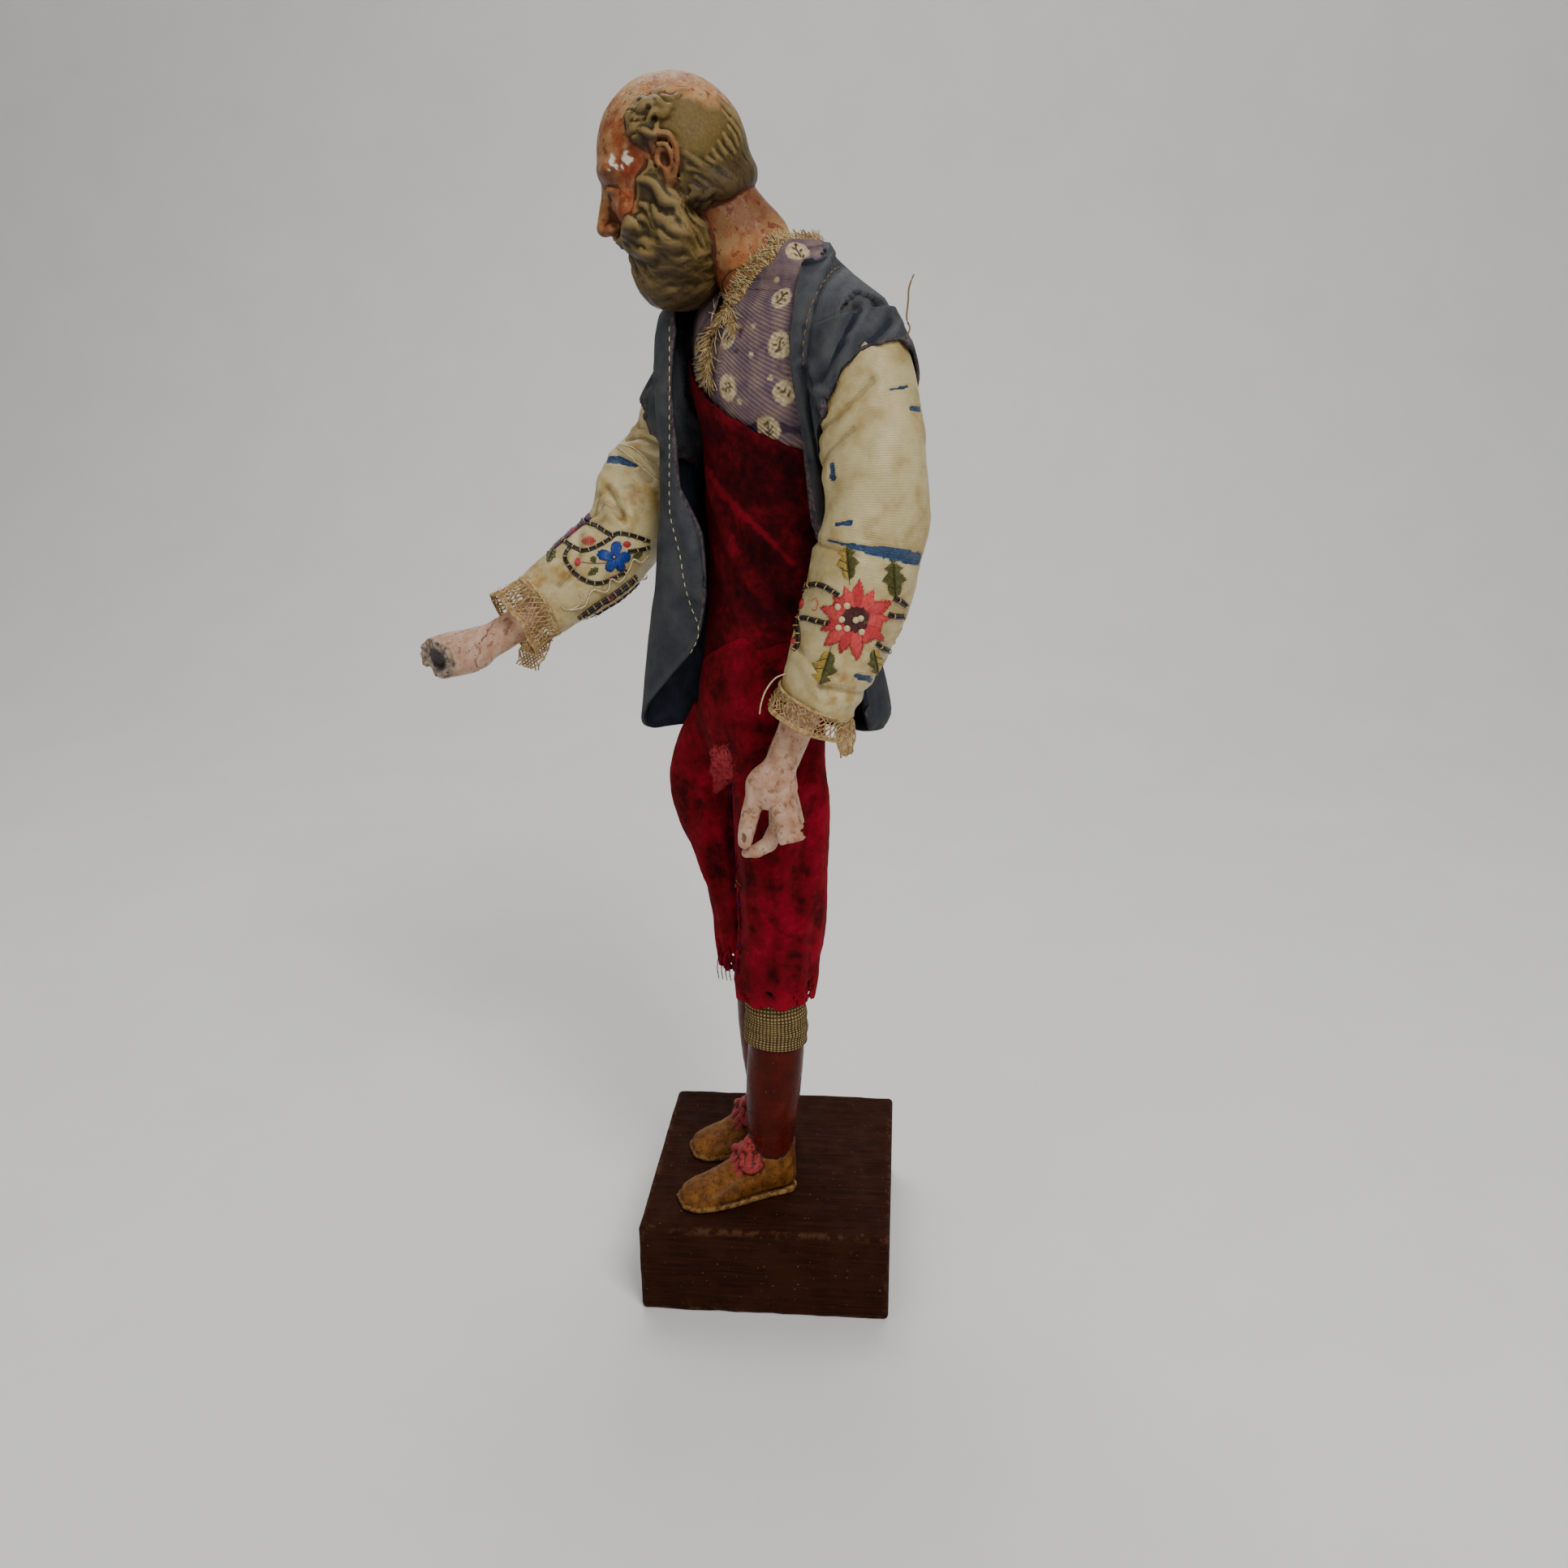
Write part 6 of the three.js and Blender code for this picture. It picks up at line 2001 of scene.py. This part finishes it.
def painted_wood():
    p = Paint("painted_wood", Specular_IOR_Level=0.1)
    red = p.mottled(8, 4, (0.3, 58, 10, 3), (0.6, 80, 17, 5), (0.75, 98, 32, 9))
    red = p.spots(red, 0.7, 2, 0.73, 0.76, 1, (168, 130, 96))
    ochre = p.mottled(3.5, 5, (0.3, 74, 42, 16), (0.5, 114, 70, 28), (0.7, 140, 92, 42))
    ochre = p.spots(ochre, 1, 5, 0.58, 0.64, 0.8, (52, 26, 12))
    base = p.mix(p.mark("shoe"), red, ochre)
    base = p.mix(p.mark("sole"), base, p.mottled(2, 4, (0.4, 156, 116, 64), (0.6, 92, 58, 28)))
    tie = p.mottled(1.6, 4, (0.4, 148, 46, 48), (0.52, 160, 66, 62), (0.66, 90, 24, 26))
    base = p.mix(p.mark("tie"), base, tie)
    # Grime and painted shade in the hollows.
    base = p.tint(base, "hollow", 0.3, 1.0, 0.7, (30, 12, 8))
    dull = p.math("ADD", p.span(p.noise(3), 0.3, 0.7, 0.2, 0.38), p.span(p.mark("shoe"), 0, 1, 0, 0.14))
    return p.finish(base, dull, p.bump(p.noise(1.4, 4), 0.12, p.bump(p.noise(0.4), 0.03)))


def painted_hand():
    p = Paint("painted_hand")
    base = p.mottled(5, 5, (0.34, 204, 168, 144), (0.5, 188, 146, 118), (0.66, 166, 116, 84))
    base = p.spots(base, 2.6, 5, 0.57, 0.63, 0.8, (136, 88, 58))
    base = p.spots(base, 0.8, 2, 0.66, 0.72, 1, (84, 58, 42))
    # Grime and painted shade in the hollows.
    base = p.tint(base, "hollow", 0.2, 1.0, 0.85, (112, 62, 38))
    bare = p.mottled(1.6, 5, (0.36, 66, 48, 38), (0.5, 138, 118, 98), (0.64, 176, 160, 140))
    base = p.mix(p.mark("broken"), base, bare)
    base = p.mix(p.mark("cavity"), base, p.mottled(1.2, 4, (0.4, 30, 22, 18), (0.6, 64, 50, 40)))
    return p.finish(base, p.span(p.noise(3), 0.3, 0.7, 0.36, 0.58), p.bump(p.noise(0.9, 4), 0.15))


def lace_thread():
    p = Paint("lace", Roughness=0.9, Specular_IOR_Level=0.2)
    base = p.mottled(1.6, 4, (0.35, 146, 114, 72), (0.65, 208, 176, 126))
    # Painted shade and grime between the threads.
    base = p.tint(base, "hollow", 0.2, 1.0, 0.8, (44, 32, 18))
    return p.finish(base, 0.9, p.bump(p.noise(0.3), 0.1))


def stained_wood():
    p = Paint("stained_wood", Specular_IOR_Level=0.03)
    grain = p.noise(1.2, 5, (1, 0.06, 1))
    base = p.colours(grain, (0.35, 38, 18, 11), (0.52, 46, 23, 14), (0.68, 56, 29, 18))
    base = p.spots(base, 14, 4, 0.46, 0.66, 0.6, (56, 30, 17))
    base = p.mix(p.times(p.mark("edge"), p.span(p.noise(3, 4), 0.46, 0.62, 0, 0.6)), base, (92, 60, 42))
    base = p.spots(base, 1.3, 2, 0.7, 0.75, 1, (118, 92, 68))
    relief = p.bump(grain, 0.12, p.bump(p.noise(4, 4), 0.2))
    return p.finish(base, p.span(p.noise(6), 0.3, 0.7, 0.5, 0.75), relief)


def knitted():
    p = Paint("knit", Roughness=0.95, Specular_IOR_Level=0.15)
    loops = p.times(p.waves(1.3, "X", 0.5), p.waves(1.1, "Y", 0.8))
    base = p.mottled(4, 3, (0.4, 66, 50, 28), (0.6, 88, 68, 38))
    base = p.mix(p.span(loops, 0.12, 0.6), base, (178, 152, 104))
    # Painted shade and grime in the folds.
    base = p.tint(base, "hollow", 0.2, 1.0, 0.7, (52, 38, 20))
    return p.finish(base, 0.95, p.bump(loops, 0.35, p.bump(p.noise(0.5), 0.1)))


# Floor and light

def make_studio():
    mesh = bpy.data.meshes.new("floor")
    far, back, high = 2.5, -1.1, 2.6
    turn = [(back + 0.5 * (1 - np.sin(a)), 0.5 * (1 - np.cos(a))) for a in np.linspace(0, np.pi / 2, 16)]
    line = [(far, 0.0), *turn, (back, high)]
    points = [(x, y, z) for x, z in line for y in (-far, far)]
    mesh.from_pydata(points, [], [(2 * k, 2 * k + 1, 2 * k + 3, 2 * k + 2) for k in range(len(line) - 1)])
    mesh.polygons.foreach_set("use_smooth", [True] * len(mesh.polygons))
    p = Paint("pale_floor")
    pale = p.mottled(60, 3, (0.3, 238, 237, 234), (0.7, 242, 241, 238))
    mesh.materials.append(p.finish(pale, 0.85, p.bump(p.noise(2), 0.02)))
    floor = bpy.data.objects.new("floor", mesh)
    bpy.context.scene.collection.objects.link(floor)
    lights = [
        ("key", (0.7, 0.4, 1.05), 0.45, 9), ("fill", (0.8, -0.8, 0.5), 0.9, 1.4),
        ("rim", (-0.5, -0.3, 1.1), 0.5, 2.2), ("wall", (-0.75, 0, 1.7), 1.0, 9),
    ]
    for name, at, size, watts in lights:
        light = bpy.data.objects.new(name, bpy.data.lights.new(name, "AREA"))
        light.data.size, light.data.energy = size, watts
        light.location = at
        light.rotation_euler = (Vector((0, 0, 0.22)) - Vector(at)).to_track_quat("-Z", "Y").to_euler()
        bpy.context.scene.collection.objects.link(light)
    world = bpy.data.worlds.new("studio")
    world.use_nodes = True
    world.node_tree.nodes["Background"].inputs["Color"].default_value = (1, 1, 1, 1)
    world.node_tree.nodes["Background"].inputs["Strength"].default_value = 0.2
    bpy.context.scene.world = world


# Assembly

make_camera()
make_studio()
head = make_head()
dress("head_cast", head, terracotta(), "painted_terracotta", "head")
red = velvet()
breeches = make_breeches()
dress("breeches_threads", joined(*sew_breeches(Ground(breeches))), red, "velvet")
pieces = {"breeches": dress("velvet_breeches", breeches, red, "velvet", "breeches")}
pieces["waistcoat"] = dress("velvet_waistcoat", make_waistcoat(), red, "velvet", "waistcoat")
shirt = make_shirt()
neck_threads = edge_threads(shirt.rows, -4, -14, 420, 3.4, (BEAD, GOLD, BEAD, BROWN), 7, 0.3)
print_roundels(shirt, Ground(shirt))
cloth = shirt_cloth()
frayed = dress("shirt_fringe", joined(*neck_threads, *fray_shirt(Ground(shirt, head))), cloth, "shirt_cloth")
pieces["shirt"] = dress("worn_shirt", shirt, cloth, "shirt_cloth", "shirt")
silk = sleeve_silk()
for side, sew in (("left", sew_left_sleeve), ("right", sew_right_sleeve)):
    sleeve = torn_sleeve(side, make_sleeve_surface(side))
    dress(f"{side}_embroidery", joined(*sew(Ground(sleeve))), silk, "sleeve_silk")
    pieces[f"{side}_sleeve"] = dress(f"{side}_silk_sleeve", sleeve, silk, "sleeve_silk", f"{side}_sleeve")
jacket = make_jacket()
ground = Ground(jacket)
sewn = [skin for dye, pixels in JACKET_STITCHES for skin in dashes(ground, pixels, dye)]
sewn += [free_thread(ground, *thread) for thread in LOOSE_THREADS]
grey = jacket_silk()
stitches = dress("jacket_stitches", joined(*sewn), grey, "jacket_silk")
pieces["jacket"] = dress("open_jacket", jacket, grey, "jacket_silk", "jacket")
legs = painted_wood()
flesh = painted_hand()
ecru = lace_thread()
for side in ARMS:
    dress(f"{side}_carved_leg", make_leg(side), legs, "painted_wood", f"{side}_leg")
    dress(f"{side}_carved_hand", make_hand(side), flesh, "painted_hand", f"{side}_hand")
    pieces[f"{side}_cuff"] = dress(f"{side}_lace_cuff", make_cuff(side), ecru, "lace", f"{side}_cuff")
pieces["knit"] = dress("knitted_band", make_knee_band(), knitted(), "knit", "left_knee_band")
dress("worn_block", make_block(), stained_wood(), "stained_wood", "base_block")
